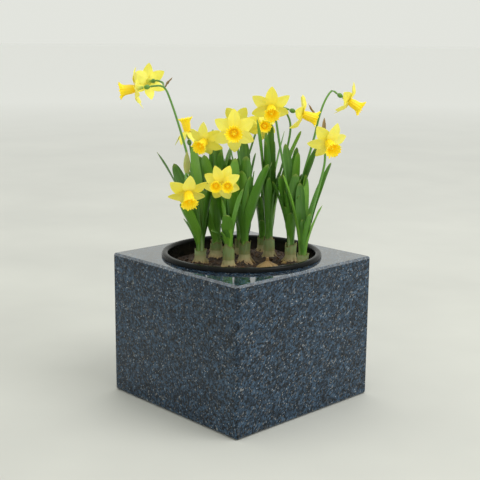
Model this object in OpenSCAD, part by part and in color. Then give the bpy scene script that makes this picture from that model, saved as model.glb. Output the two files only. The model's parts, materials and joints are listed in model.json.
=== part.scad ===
// A granite block planter. A round plastic pot hangs by its rim in a recess bored into the block,
// and dwarf daffodils grow in the pot from bulbs set half proud of the soil.
// Z is up, and the origin is the middle of the block's underside. All sizes are in millimetres.

/* [Granite block] */
// Width and depth of the block
block_w = 250; // [205:1:320]
// Height of the block
block_h = 197; // [120:1:280]
// Chamfer along every outer edge
edge_chamfer = 3; // [1:0.5:6]
// Thickness of the stone left under the round recess
stone_floor_t = 25; // [15:1:40]

/* [Insert pot] */
// Width of the stone that shows beside the pot's rim, at the middle of each side
stone_border = 16; // [8:1:36]
// Width of the rolled rim
rim_w = 9; // [8:0.5:12]
// Height of the rolled rim above the stone
rim_h = 6; // [4:0.5:10]
// Wall thickness of the pot
pot_wall = 2; // [1.5:0.1:3]
// Gap between the pot's floor and the stone
under_pot_gap = 12; // [6:1:30]
// How far the pot's wall tapers in on its way down to the floor
pot_taper = 14; // [2:1:24]
// Diameter of each drainage hole
drain_d = 8; // [5:0.5:12]
// Number of drainage holes round the floor
drain_count = 8; // [4:1:12]
// Gap between the pot's wall and the recess, all round
pot_clearance = 2; // [1:0.1:4]

/* [Planting] */
// How far the soil lies below the top of the rim
soil_below_rim = 21; // [16:1:40]
// How far the bulbs' necks stand above the soil
neck_rise = 16; // [13:1:20]
// Room between the stems and the inside of the sheath round them
sheath_clearance = 0.4; // [0.3:0.1:1.5]
// Wall thickness of a sheath
sheath_wall = 0.8; // [0.5:0.1:1.2]
// Thickness of a leaf
leaf_t = 1.6; // [1:0.1:2]
// Radius of a flower stem at its foot
stem_foot_r = 2; // [1.6:0.1:2.4]
// Radius of a flower stem at its top
stem_top_r = 1.5; // [1:0.1:2]
// Thickness of a petal
petal_t = 1; // [0.6:0.1:1.5]
// Length of a full-sized trumpet
trumpet_l = 21; // [16:1:26]
// Turn of the planting about the upright axis
planting_turn = 46; // [0:1:359]

/* [Hidden] */
$fn = 96;
seat_gap = 0.2;
soft_gap = 0.3;

// Pot and recess, worked out from the sizes above
rim_overhang = 7;
rim_d = block_w - 2 * stone_border;
rim_round = 2.6;
pot_floor_t = 2.5;
drain_inset = 25;
pot_top_d = rim_d - 2 * rim_overhang;
pot_floor_d = pot_top_d - 2 * pot_taper;
recess_d = pot_top_d + 2 * pot_clearance;
recess_depth = block_h - stone_floor_t;
pot_depth = recess_depth - under_pot_gap;
drain_circle_d = pot_floor_d - 2 * drain_inset;
rim_top = block_h + rim_h;
soil_top = rim_top - soil_below_rim;
pot_bottom = block_h - pot_depth;

// The planting is laid out for a pot that is this wide at its top, and grows or shrinks with the pot
layout_d = 204;
spread = pot_top_d / layout_d;

// Bulbs, in the planting's own frame: x is to the right and y to the back.
// Each has its middle x and y, its radius, and the height of its sheath (0 for a bulb with no leaves).
BULBS = [
    [-56, -8, 18, 16],
    [-36, 28, 18, 16],
    [-17, -32, 17, 26],
    [4, 4, 18, 24],
    [38, 28, 18, 34],
    [30, 66, 16, 14],
    [67, 5, 18, 24],
    [-2, 46, 17, 16],
    [-36, 64, 16, 16],
    [35, -20, 17, 0],
    [82, -25, 10, 14],
];
neck_h = 6;
shoulder_at = [0.8, 0.6];
// The radius of the ring on which leaves and side stems stand in a neck, and the width of a leaf's foot
stem_spacing = 0.6;
slot_r = 2 * stem_foot_r + stem_spacing;
sheath_in_r = slot_r + stem_foot_r + sheath_clearance;
sheath_r = sheath_in_r + sheath_wall;
leaf_spacing = 0.6;
leaf_foot_w_least = slot_r - leaf_spacing;
leaf_foot_w_most = sheath_in_r;

// Tufts of leaves, one for each leafy bulb: the bulb, the number of places round its neck,
// the angle of the first place, and the leaves.
// Each leaf has its place, the reach of its tip in x and y, its height and its width.
TUFTS = [
    [0, 6, 0, [[3, -53, -2, 139, 8], [4, -22, -34, 77, 13], [2, -36, 22, 120, 12],
        [1, -14, 38, 146, 14], [0, 14, -4, 100, 12]]],
    [1, 5, 30, [[0, 16, 0, 147, 12], [1, -2, 18, 154, 13], [2, -52, 12, 112, 10], [3, -14, -16, 134, 13]]],
    [2, 5, 54, [[0, 6, 12, 133, 12], [1, -14, 8, 118, 12], [2, -19, -4, 40, 7], [3, -4, -16, 63, 12],
        [4, 14, -6, 96, 12]]],
    [3, 5, 18, [[0, 32, 8, 124, 13], [1, -2, 18, 153, 13], [2, -16, 6, 143, 13], [3, 2, -18, 136, 14],
        [4, 28, -22, 126, 14]]],
    [4, 4, 0, [[0, 36, -4, 166, 9], [1, 2, 16, 173, 9], [2, -14, 4, 181, 10], [3, -2, -12, 104, 9]]],
    [5, 4, 0, [[0, 24, 8, 160, 9], [1, 4, 14, 100, 10], [2, -14, 2, 92, 9], [3, 12, -10, 56, 10]]],
    [6, 6, 0, [[0, 28, 0, 146, 14], [1, 5, 27, 142, 13], [2, -6, 10, 149, 14], [3, -22, -4, 100, 11],
        [5, 8, -14, 84, 12]]],
    [7, 5, 18, [[0, 16, 6, 132, 12], [2, -14, 12, 134, 12], [3, -12, -8, 126, 12], [4, 8, -10, 122, 12]]],
    [8, 5, -63, [[0, 5, -12, 118, 12], [1, 15, 5, 138, 12], [2, 2, 14, 140, 12], [3, -22, 10, 124, 12]]],
    [10, 3, 60, [[0, 36, 36, 124, 8], [1, -24, -4, 113, 11], [2, 6, -14, 64, 8]]],
];
leaf_rings = 6;
leaf_bend = 1.5;
leaf_shoulder_from = 0.8;
leaf_shoulder_share = 0.85;
leaf_tip_share = 0.35;

// Heights of flowers and stems are above the soil, for necks that stand this far out of it.
// Where the necks stand higher or lower, the plants do too.
layout_rise = 16;

// Flowers: where the petals meet (x, y, z), turn from facing the front,
// nod below level, roll, length of a petal, and how far the petals lean back.
FLOWERS = [
    [-140, -10, 239, -85, 8, 15, 28, 4],
    [-128, 38, 246, -150, 5, 0, 25, 6],
    [-76, 42, 177, -90, -80, 0, 25, 40],
    [-50, 4, 170, -25, 25, 0, 26, 8],
    [-11, -20, 185, 0, 5, 0, 29.5, 4],
    [-8, 44, 190, 178, -8, 30, 27, 10],
    [37, -16, 217, 3, 28, 0, 28, 6],
    [80, 20, 205, 85, 18, 20, 28, 16],
    [144, 40, 222, 75, 30, 10, 27, 14],
    [112, -24, 173, 20, 28, -20, 28, 4],
    [-69, -70, 112, 12, 40, 0, 28, 2],
    [-26, -46, 120, 0, 12, 22, 25, 4],
    [28, 60, 186, 10, 0, 0, 23, 20],
];
petals_usual = 6;
petals_twin = 8;
twin_flower = 11;
twin_spread = 7.6;
twin_trumpet_scale = 0.74;
full_petal = 28;
petal_half_w_share = 0.27;
// Petals that lean back further than this are narrower, so that neighbours stay clear of each other
far_lean = 30;
far_lean_share = 0.7;
hub_r = 4.5;
hub_edge = 0.6;
layer_drop = petal_t + seat_gap;
tube_l = 9.5;
ovary_l = 8.5;
ovary_r = 3.2;
pedicel_run = 8;
// A trumpet's profile: its foot, the swell above it, its throat and its flared mouth (radius, height)
trumpet_wall = 0.9;
trumpet_foot_r = 3.6;
trumpet_swell = [5.4, 4];
trumpet_throat = [6.2, 0.66 * trumpet_l];
trumpet_mouth = [9.5, trumpet_l];

// Stems, by bulb: the bulb, its place round the neck (-1 for the middle), the points that it passes
// (x, y, z), and the flower that it ends in.
STEMS = [
    [0, -1, [[-60, -4, 90], [-72, -4, 145], [-85, -5, 192], [-97, -6, 228], [-104, -7, 241]], 0],
    [0, 5, [[-57, -16, 60], [-66, -32, 108], [-72, -41, 130]], 10],
    [1, -1, [[-37, 27, 110], [-39, 28, 158]], 3],
    [2, -1, [[-18, -27, 80], [-23, -19, 114]], 11],
    [3, -1, [[0, 8, 110], [-8, 12, 170]], 4],
    [4, -1, [[46, 33, 100], [62, 38, 160], [65, 34, 190], [58, 26, 208]], 7],
    [6, -1, [[70.5, 7, 60], [80, 15, 110], [97, 30, 170], [104, 35, 200], [112, 40, 222]], 8],
    [6, 4, [[62, -1, 90], [57, -2, 130], [50, -1, 165], [44, 2, 200], [39, 9, 221]], 6],
    [7, -1, [[-2, 58, 60], [0, 64, 110], [14, 77, 160]], 12],
    [8, -1, [[-42, 58, 60], [-56, 48, 108], [-68, 43, 135]], 2],
    [10, -1, [[87, -23, 50], [94, -20, 80], [102, -15, 110], [110, -8, 145], [108, -1, 178]], 9],
];
// Second flowers that share a stem: the stem, the points where the side stalk starts, and the flower
SIDE_STALKS = [
    [0, [[-104.3, -4.2, 241], [-106, 2, 246]], 1],
    [4, [[-4.8, 12, 171], [-4.6, 15, 182]], 5],
];
stalk_step = 6;
stalk_sides = 8;
stalk_top_r = 1.2;

// Papery bracts at the stem tops: the stem, how many points below its last one the bract grows,
// its lean away from the flower, and its length and width
SPATHES = [
    [0, 0, 40, 16, 7],
    [1, 0, 6, 30, 8],
    [2, 0, 15, 15, 5],
    [3, 0, 15, 14, 5],
    [4, 0, -8, 24, 5],
    [5, 0, 20, 20, 5],
    [6, 1, 34, 24, 5],
    [7, 0, 20, 16, 5],
    [8, 0, 10, 15, 5],
    [9, 0, 20, 13, 5],
    [10, 0, 6, 24, 5],
];
spathe_t = 0.6;

BULB_GROUPS = [[0], [1], [2], [3], [4], [5], [6, 10], [7], [8], [9]];
LEAF_GROUPS = [[0], [1], [2], [3], [4], [5], [6, 9], [7], [8]];
STEM_GROUPS = [[0, 1], [2], [3], [4], [5], [6, 7, 10], [8], [9]];

// Small vector helpers
function unit(v) = v / norm(v);
function across(v, along) = unit(v - (v * along) * along);
function flatten(lists) = [for (l = lists) each l];

// A smooth curve through a list of points, about `step` apart
function blended(a, b, c, d, t) =
    0.5 * (2 * b + (c - a) * t + (2 * a - 5 * b + 4 * c - d) * t * t + (3 * b - a - 3 * c + d) * t * t * t);
function smooth_path(p, step) = [
    for (i = [0:len(p) - 2])
        let (
            before = p[max(i - 1, 0)],
            after = p[min(i + 2, len(p) - 1)],
            parts = max(1, round(norm(p[i + 1] - p[i]) / step))
        )
        for (k = [0:parts - 1]) blended(before, p[i], p[i + 1], after, k / parts),
    p[len(p) - 1]
];

// The direction of a path at each of its points
function tangents(p) = [
    for (i = [0:len(p) - 1]) i == 0 ? [0, 0, 1] : unit(p[min(i + 1, len(p) - 1)] - p[i - 1])
];

// The sideways direction at each point, carried along the path without twisting
function sides(t, side, i = 0) =
    i == len(t) ? [] : let (s = across(side, t[i])) concat([s], sides(t, s, i + 1));

// One closed solid through a list of rings, each with the same number of corners
module skin(rings) {
    n = len(rings[0]);
    last = len(rings) - 1;
    walls = [
        for (k = [0:last - 1]) for (i = [0:n - 1])
            let (a = k * n + i, b = k * n + (i + 1) % n)
            each [[a, a + n, b + n], [a, b + n, b]]
    ];
    foot = [for (i = [0:n - 1]) i];
    top = [for (i = [n - 1:-1:0]) last * n + i];
    polyhedron(points = flatten(rings), faces = concat([foot], walls, [top]), convexity = 6);
}

// Places in the planting
function bulb_xy(b) = [BULBS[b][0], BULBS[b][1]];
function neck_top() = soil_top + neck_rise;
function slot_xy(b, angle) = bulb_xy(b) + slot_r * [cos(angle), sin(angle)];
function upright(xy, z) = [xy[0], xy[1], z];
function planted(p) = [p[0], p[1], p[2] + neck_top() - layout_rise];

// Where a flower looks, where its petals meet, and the end of the stalk behind it
function flower_way(f) =
    let (turn = FLOWERS[f][3], nod = FLOWERS[f][4])
    [sin(turn) * cos(nod), -cos(turn) * cos(nod), -sin(nod)];
function flower_middle(f) = planted(FLOWERS[f]);
function stalk_end(f) = flower_middle(f) - (tube_l + ovary_l + 2 * soft_gap) * flower_way(f);

module in_planting() {
    translate([0, 0, soil_top]) scale(spread) translate([0, 0, -soil_top]) rotate(planting_turn) children();
}

// The block: a cube with every edge chamfered, and a round blind recess in its top
module chamfered_square(w, d, c) {
    polygon([
        [c - w / 2, -d / 2], [w / 2 - c, -d / 2], [w / 2, c - d / 2], [w / 2, d / 2 - c],
        [w / 2 - c, d / 2], [c - w / 2, d / 2], [-w / 2, d / 2 - c], [-w / 2, c - d / 2]
    ]);
}

module granite_block() {
    color("dimgray")
    difference() {
        intersection() {
            linear_extrude(block_h) chamfered_square(block_w, block_w, edge_chamfer);
            translate([0, block_w / 2, block_h / 2]) rotate([90, 0, 0])
                linear_extrude(block_w) chamfered_square(block_w, block_h, edge_chamfer);
            translate([-block_w / 2, 0, block_h / 2]) rotate([90, 0, 90])
                linear_extrude(block_w) chamfered_square(block_w, block_h, edge_chamfer);
        }
        translate([0, 0, block_h - recess_depth]) cylinder(d = recess_d, h = recess_depth + 1);
    }
}

// The pot: a tapered wall and floor under a rolled rim whose flat underside rests on the stone
module rim_profile() {
    translate([rim_d / 2 - rim_w, 0]) square([rim_w, rim_h - rim_round]);
    translate([rim_d / 2 - rim_w + rim_round, 0]) square([rim_w - 2 * rim_round, rim_h]);
    for (x = [rim_d / 2 - rim_w + rim_round, rim_d / 2 - rim_round])
        translate([x, rim_h - rim_round]) circle(rim_round);
}

module wall_profile() {
    top_r = pot_top_d / 2;
    floor_r = pot_floor_d / 2;
    polygon([
        [0, -pot_depth], [floor_r, -pot_depth], [top_r, 0], [top_r, 1], [top_r - pot_wall, 1],
        [top_r - pot_wall, 0], [floor_r - pot_wall, pot_floor_t - pot_depth], [0, pot_floor_t - pot_depth]
    ]);
}

module insert_pot() {
    color("black")
    difference() {
        translate([0, 0, block_h]) rotate_extrude() {
            rim_profile();
            wall_profile();
        }
        for (i = [0:drain_count - 1])
            rotate(i * 360 / drain_count) translate([drain_circle_d / 2, 0, pot_bottom - 1])
                cylinder(d = drain_d, h = pot_floor_t + 2);
    }
}

// The soil fills the pot with a small gap, and has a pocket for each bulb
module potting_soil() {
    foot = pot_bottom + pot_floor_t + soft_gap;
    slope = (pot_top_d - pot_floor_d) / 2 / pot_depth;
    foot_r = pot_floor_d / 2 - pot_wall - soft_gap + slope * (foot - pot_bottom - pot_floor_t);
    top_r = foot_r + slope * (soil_top - foot);
    color("saddlebrown")
    difference() {
        translate([0, 0, foot]) cylinder(h = soil_top - foot, r1 = foot_r, r2 = top_r);
        in_planting() for (b = [0:len(BULBS) - 1]) bulb(b, soft_gap);
    }
}

// A bulb, turned about its own upright axis, and optionally a little larger all round
module bulb(b, extra = 0) {
    r = BULBS[b][2];
    color("peru")
    translate(upright(bulb_xy(b), neck_top() - neck_h - r)) rotate_extrude() {
        intersection() {
            circle(r + extra);
            translate([0, -2 * r]) square([2 * r, 4 * r]);
        }
        polygon([[0, 0], r * shoulder_at, [sheath_r, r + 1], [sheath_r, r + neck_h], [0, r + neck_h]]);
    }
}

// A papery sheath stands on a bulb's neck, round the feet of its leaves
module sheath(b) {
    color("palegoldenrod")
    translate(upright(bulb_xy(b), neck_top())) difference() {
        cylinder(r = sheath_r, h = BULBS[b][3]);
        translate([0, 0, -1]) cylinder(r = sheath_in_r, h = BULBS[b][3] + 2);
    }
}

module sheaths() {
    in_planting() for (b = [0:len(BULBS) - 1]) if (BULBS[b][3] > 0) sheath(b);
}

// Leaves in one neck leave each other room, so a leaf is only as wide as its reach from the middle allows
function leaf_width(u, w, places, reach_out) =
    let (
        room = 2 * (slot_r + reach_out * pow(u, leaf_bend)) * tan(180 / places) - leaf_spacing,
        widest = u > 0 ? w : min(w, leaf_foot_w_most),
        taper = u == 1 ? leaf_tip_share : u > leaf_shoulder_from ? leaf_shoulder_share : 1
    )
    min(widest, max(room, leaf_foot_w_least)) * taper;

function leaf_ring(p, side, along, w, t) =
    let (out = cross(along, side))
    [for (c = [[-1 / 2, 0], [-1 / 4, -1 / 2], [1 / 4, -1 / 2], [1 / 2, 0], [1 / 4, 1 / 2], [-1 / 4, 1 / 2]])
        p + c[0] * w * side + c[1] * t * out];

// A leaf: upright inside the sheath, then bending out to its tip
module leaf(b, places, first_angle, data) {
    angle = first_angle + data[0] * 360 / places;
    foot = upright(slot_xy(b, angle), neck_top() + seat_gap);
    tied_h = BULBS[b][3];
    reach_out = data[1] * cos(angle) + data[2] * sin(angle);
    free_h = data[3] - tied_h;
    shares = [for (k = [0:leaf_rings]) k / leaf_rings];
    spine = concat([foot], [for (u = shares)
        foot + [data[1] * pow(u, leaf_bend), data[2] * pow(u, leaf_bend), tied_h + free_h * u]]);
    widths = [for (u = concat([0], shares)) leaf_width(u, data[4], places, reach_out)];
    along = tangents(spine);
    side = sides(along, [-sin(angle), cos(angle), 0]);
    last = len(spine) - 1;
    color("forestgreen")
    skin([for (k = [0:last])
        leaf_ring(spine[k], side[k], along[k], widths[k], k == last ? leaf_t / 2 : leaf_t)]);
}

module tuft(i) {
    data = TUFTS[i];
    for (l = data[3]) leaf(data[0], data[1], data[2], l);
}

module leaves(group) {
    in_planting() for (i = group) tuft(i);
}

// A round stalk along a smooth path, thinner towards its end
module stalk(points, foot_r, end_r) {
    path = smooth_path(points, stalk_step);
    along = tangents(path);
    side = sides(along, [1, 0, 0]);
    last = len(path) - 1;
    skin([for (k = [0:last])
        let (r = foot_r + (end_r - foot_r) * k / last, out = cross(along[k], side[k]))
        [for (a = [0:360 / stalk_sides:359]) path[k] + r * (cos(a) * side[k] + sin(a) * out)]]);
}

// The last stretch of a stalk comes straight up behind its flower
function run_in(f) = [stalk_end(f) - pedicel_run * flower_way(f), stalk_end(f)];

module ovary(f) {
    way = flower_way(f);
    middle = flower_middle(f) - (tube_l + soft_gap + ovary_l / 2) * way;
    translate(middle) rotate([0, acos(way[2]), atan2(way[1], way[0])]) rotate_extrude()
        intersection() {
            translate([ovary_r - pow(ovary_l / 2, 2) / ovary_r, 0]) circle(pow(ovary_l / 2, 2) / ovary_r);
            translate([0, -ovary_l / 2]) square([ovary_r, ovary_l]);
        }
}

module stem(s) {
    data = STEMS[s];
    places = data[1] < 0 ? 1 : stem_places(data[0]);
    angle = stem_first_angle(data[0]) + data[1] * 360 / places;
    xy = data[1] < 0 ? bulb_xy(data[0]) : slot_xy(data[0], angle);
    foot = upright(xy, neck_top() + seat_gap);
    clear = foot + [0, 0, BULBS[data[0]][3] + 2];
    passed = [for (p = data[2]) planted(p)];
    stalk(concat([foot, clear], passed, run_in(data[3])), stem_foot_r, stalk_top_r);
    ovary(data[3]);
}

function tuft_of(b) = [for (t = TUFTS) if (t[0] == b) t][0];
function stem_places(b) = tuft_of(b)[1];
function stem_first_angle(b) = tuft_of(b)[2];

module stems(group) {
    color("darkgreen") in_planting() for (s = group) {
        stem(s);
        for (side = SIDE_STALKS) if (side[0] == s) {
            stalk(concat([for (p = side[1]) planted(p)], run_in(side[2])), stalk_top_r, stalk_top_r);
            ovary(side[2]);
        }
    }
}

// Everything in a flower is drawn with its trumpet upright, then turned to look its own way
module at_flower(f) {
    translate(flower_middle(f)) rotate([0, 0, FLOWERS[f][3]]) rotate([90 + FLOWERS[f][4], 0, 0]) children();
}

module petal_outline(length, half_w) {
    arc_r = (length * length / 4 + half_w * half_w) / (2 * half_w);
    intersection() {
        translate([length / 2, arc_r - half_w]) circle(arc_r);
        translate([length / 2, half_w - arc_r]) circle(arc_r);
    }
}

// Six petals in two layers of three, round a hub on a short tapered tube
module hub_and_tube() {
    rotate_extrude() polygon([
        [0, -tube_l], [stalk_top_r + hub_edge, -tube_l], [hub_r - hub_edge, -layer_drop - hub_edge],
        [hub_r, -layer_drop], [hub_r, petal_t], [0, petal_t]
    ]);
}

function petal_half_w(f) =
    petal_half_w_share * FLOWERS[f][6] * (FLOWERS[f][7] > far_lean ? far_lean_share : 1);

module petals(f) {
    root_r = hub_r + soft_gap;
    reach = FLOWERS[f][6] - root_r;
    count = f == twin_flower ? petals_twin : petals_usual;
    color("khaki") in_planting() at_flower(f) {
        for (k = [0:count - 1])
            rotate([0, 0, 90 + FLOWERS[f][5] + k * 360 / count])
                translate([root_r, 0, k % 2 == 0 ? 0 : -layer_drop]) rotate([0, FLOWERS[f][7], 0])
                    linear_extrude(petal_t) petal_outline(reach, petal_half_w(f));
        hub_and_tube();
    }
}

// A trumpet is a thin cup with a closed foot, standing on the petals' hub
module trumpet_cup() {
    inwards = [-trumpet_wall, 0];
    foot_t = 1.2;
    rotate_extrude() polygon([
        [0, 0], [trumpet_foot_r, 0], trumpet_swell, trumpet_throat, trumpet_mouth,
        trumpet_mouth + inwards, trumpet_throat + inwards, trumpet_swell + inwards,
        [trumpet_foot_r - trumpet_wall, foot_t], [0, foot_t]
    ]);
}

module trumpet(f) {
    size = FLOWERS[f][6] / full_petal;
    color("gold") in_planting() at_flower(f) translate([0, 0, petal_t + seat_gap]) {
        if (f == twin_flower) {
            for (x = [-1, 1]) translate([x * twin_spread, 0, 0]) scale(twin_trumpet_scale) trumpet_cup();
        } else {
            scale(size) trumpet_cup();
        }
    }
}

// A papery bract: a thin pointed blade that starts at the side of a stem, and leans from the flower
module spathe(data) {
    passed = STEMS[data[0]][2];
    grows_at = planted(passed[len(passed) - 1 - data[1]]);
    away = grows_at - stalk_end(STEMS[data[0]][3]);
    turn = atan2(away[1], away[0]);
    color("tan")
    translate(grows_at) rotate(turn) translate([stem_top_r + soft_gap, 0, 0]) rotate([0, data[2] - 90, 0])
        translate([0, 0, -spathe_t]) linear_extrude(spathe_t) petal_outline(data[3], data[4] / 2);
}

module spathes() {
    in_planting() for (s = SPATHES) spathe(s);
}

granite_block();
insert_pot();
potting_soil();
sheaths();
spathes();
for (i = [1:len(BULB_GROUPS)])
    in_planting() for (b = BULB_GROUPS[i - 1]) bulb(b);
for (i = [1:len(LEAF_GROUPS)])
    leaves(LEAF_GROUPS[i - 1]);
for (i = [1:len(STEM_GROUPS)])
    stems(STEM_GROUPS[i - 1]);
for (f = [1:len(FLOWERS)])
    petals(f - 1);
for (f = [1:len(FLOWERS)])
    trumpet(f - 1);
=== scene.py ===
# %% [markdown]
# # A granite planter full of dwarf daffodils
# The planter is a polished granite block with a round recess. A black plastic pot hangs in the recess
# by its rim, and dwarf daffodils grow in it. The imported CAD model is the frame:
# it says where every piece is, and this lesson gives each piece its natural shape and finish.
# Units are metres, Z is up, and the origin is the middle of the block's underside.

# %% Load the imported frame
import json
import math
import random

import bpy
import numpy as np
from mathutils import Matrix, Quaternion, Vector, noise

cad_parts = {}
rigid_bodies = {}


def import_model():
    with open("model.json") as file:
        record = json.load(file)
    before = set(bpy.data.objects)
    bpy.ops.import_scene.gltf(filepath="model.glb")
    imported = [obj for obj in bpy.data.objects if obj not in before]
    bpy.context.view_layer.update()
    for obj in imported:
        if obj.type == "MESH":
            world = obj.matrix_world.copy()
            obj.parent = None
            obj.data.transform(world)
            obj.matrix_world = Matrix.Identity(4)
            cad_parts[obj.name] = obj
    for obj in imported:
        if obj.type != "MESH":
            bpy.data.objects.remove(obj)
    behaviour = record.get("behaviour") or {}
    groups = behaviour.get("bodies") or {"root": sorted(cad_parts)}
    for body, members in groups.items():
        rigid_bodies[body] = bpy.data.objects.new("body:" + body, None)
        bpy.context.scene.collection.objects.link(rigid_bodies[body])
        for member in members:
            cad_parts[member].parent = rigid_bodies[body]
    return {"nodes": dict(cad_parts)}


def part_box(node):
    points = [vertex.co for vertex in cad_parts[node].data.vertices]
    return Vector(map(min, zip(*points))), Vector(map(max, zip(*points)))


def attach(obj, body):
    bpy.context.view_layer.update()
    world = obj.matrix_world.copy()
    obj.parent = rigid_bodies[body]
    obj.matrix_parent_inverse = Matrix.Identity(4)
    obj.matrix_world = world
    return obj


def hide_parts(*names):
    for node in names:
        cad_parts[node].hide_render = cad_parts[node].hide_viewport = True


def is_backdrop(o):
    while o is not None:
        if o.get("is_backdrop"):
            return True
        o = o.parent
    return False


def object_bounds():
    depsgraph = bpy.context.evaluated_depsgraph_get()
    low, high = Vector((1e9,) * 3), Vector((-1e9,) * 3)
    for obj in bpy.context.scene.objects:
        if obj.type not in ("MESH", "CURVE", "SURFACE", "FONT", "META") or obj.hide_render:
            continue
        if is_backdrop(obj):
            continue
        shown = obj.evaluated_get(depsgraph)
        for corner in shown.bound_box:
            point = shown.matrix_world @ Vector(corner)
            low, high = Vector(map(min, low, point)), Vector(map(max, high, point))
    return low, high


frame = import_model()
cad_low, cad_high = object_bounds()
nodes = frame["nodes"]
MM = 0.001

# %% [markdown]
# ## Camera
# The camera looks at one upright edge of the block from a little above. It is made first, so that
# every later look at the scene is through it. A long lens from over a metre away keeps the edges of
# the block nearly parallel, as a product picture does.

# %% Camera
azimuth, elevation, tilt = math.radians(46.40), math.radians(11.845), math.radians(0.455)
looks_at = Vector((-0.0016, -0.0016, 0.217))
camera_distance, lens, sensor_width = 1.346, 74.0, 36.0
backwards = Vector((
    math.sin(azimuth) * math.cos(elevation),
    -math.cos(azimuth) * math.cos(elevation),
    math.sin(elevation),
))
bpy.ops.object.camera_add(location=looks_at + camera_distance * backwards)
camera = bpy.context.object
camera.rotation_mode = "QUATERNION"
camera.rotation_quaternion = (-backwards).to_track_quat("-Z", "Y") @ Quaternion((0, 0, 1), tilt)
camera.data.lens = lens
camera.data.sensor_width = sensor_width
bpy.context.scene.camera = camera
bpy.context.scene.view_settings.view_transform = "Standard"
print("camera at", [round(x, 3) for x in camera.location])

# %% [markdown]
# ## Small helpers
# Blender's operators act on whatever is selected, so the first helpers select one object, hand a
# fresh primitive back under a plain name, and join pieces. The others apply what has been done to an
# object, and read or write all its points at once, for shapes that follow a formula.

# %% Helpers for objects
def only(obj):
    """Select this object alone and make it the active one."""
    bpy.ops.object.select_all(action="DESELECT")
    obj.select_set(True)
    bpy.context.view_layer.objects.active = obj
    return obj


def named(name):
    """The object that an operator has just made, under its new name."""
    made = bpy.context.object
    made.name = name
    made.data.name = name
    return made


def finish_modifiers(obj):
    """Apply every modifier, as by hand."""
    only(obj)
    for modifier in list(obj.modifiers):
        bpy.ops.object.modifier_apply(modifier=modifier.name)
    return obj


def settle(obj):
    """Put an object's place into its mesh, so that the object itself sits at the origin."""
    only(obj)
    bpy.ops.object.transform_apply(location=True, rotation=True, scale=True)
    return obj


def join_to(obj, others):
    """Join other objects to this one."""
    only(obj)
    for other in others:
        other.select_set(True)
    bpy.ops.object.join()
    return obj


def points_of(obj):
    """All the points of an object, one row each."""
    co = np.empty(len(obj.data.vertices) * 3)
    obj.data.vertices.foreach_get("co", co)
    return co.reshape(-1, 3)


def move_points(obj, points):
    """Move an object's points to these rows."""
    obj.data.vertices.foreach_set("co", np.asarray(points, float).ravel())
    obj.data.update()
    return obj


print("object helpers ready")

# %% [markdown]
# Materials are built from nodes, and most of them need the same few steps: add a node, wire it, turn
# a value into a colour, and lay one colour over another where a mask is high. These helpers do that.
# A number that is the same all over the surface is set on the shader itself.

# %% Helpers for materials
def new_finish(name):
    """A material with a Principled shader: returns the material, its node tree and the shader."""
    material = bpy.data.materials.new(name)
    material.use_nodes = True
    return material, material.node_tree, material.node_tree.nodes["Principled BSDF"]


def node(tree, kind, **settings):
    """A new node with these settings."""
    made = tree.nodes.new(kind)
    for key, value in settings.items():
        setattr(made, key, value)
    return made


def wire(tree, source, target):
    tree.links.new(source, target)


def ramp(tree, source, stops, smooth=True):
    """A colour ramp fed by a value. Stops are (position, (r, g, b))."""
    made = node(tree, "ShaderNodeValToRGB")
    made.color_ramp.interpolation = "LINEAR" if smooth else "CONSTANT"
    elements = made.color_ramp.elements
    while len(elements) < len(stops):
        elements.new(1.0)
    for element, (position, colour) in zip(elements, stops):
        element.position = position
        element.color = (*colour, 1)
    wire(tree, source, made.inputs["Fac"])
    return made.outputs["Color"]


def blend_colours(tree, share, a, b, how="MIX"):
    """Mix two colours. Share and colours may be sockets or plain values."""
    made = node(tree, "ShaderNodeMix", data_type="RGBA", blend_type=how)
    for socket, value in ((made.inputs[0], share), (made.inputs[6], a), (made.inputs[7], b)):
        if isinstance(value, bpy.types.NodeSocket):
            wire(tree, value, socket)
        elif isinstance(value, tuple):
            socket.default_value = (*value, 1)
        else:
            socket.default_value = value
    return made.outputs[2]


def sums(tree, operation, a, b=0.0, c=None):
    """One Math node. The inputs may be sockets or numbers."""
    made = node(tree, "ShaderNodeMath", operation=operation)
    for socket, value in zip(made.inputs, (a, b, c)):
        if isinstance(value, bpy.types.NodeSocket):
            wire(tree, value, socket)
        elif value is not None:
            socket.default_value = value
    return made.outputs[0]


print("node helpers ready")

# %% [markdown]
# The next helpers say what most finishes need: a second colour over the first, a value spread to
# another range, gloss that follows a mask, light that sinks in, and relief.

# %% Helpers for finishes
def wash(tree, under, mask, strength, over):
    """A second colour laid over the first where a mask is high, up to the given strength."""
    return blend_colours(tree, sums(tree, "MULTIPLY", mask, strength), under, over)


def spread_value(tree, value, low, high, to_low=0.0, to_high=1.0):
    """A value spread from one range to another, and kept inside it."""
    made = node(tree, "ShaderNodeMapRange")
    wire(tree, value, made.inputs["Value"])
    ends = {"From Min": low, "From Max": high, "To Min": to_low, "To Max": to_high}
    for name, number in ends.items():
        made.inputs[name].default_value = number
    return made.outputs["Result"]


def gloss(tree, shader, mask, low, high):
    """Roughness that follows a mask from low to high."""
    wire(tree, spread_value(tree, mask, 0, 1, low, high), shader.inputs["Roughness"])


def let_light_in(shader, weight, depth, radius=None):
    """Subsurface scattering to this depth, with its own radius for red, green and blue."""
    shader.inputs["Subsurface Weight"].default_value = weight
    shader.inputs["Subsurface Scale"].default_value = depth
    if radius:
        shader.inputs["Subsurface Radius"].default_value = radius


def bump(tree, shader, height, strength, distance):
    """Relief from a height, wired into the shader's normal."""
    made = node(tree, "ShaderNodeBump")
    made.inputs["Strength"].default_value = strength
    made.inputs["Distance"].default_value = distance
    wire(tree, height, made.inputs["Height"])
    wire(tree, made.outputs["Normal"], shader.inputs["Normal"])


print("material helpers ready")

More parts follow.
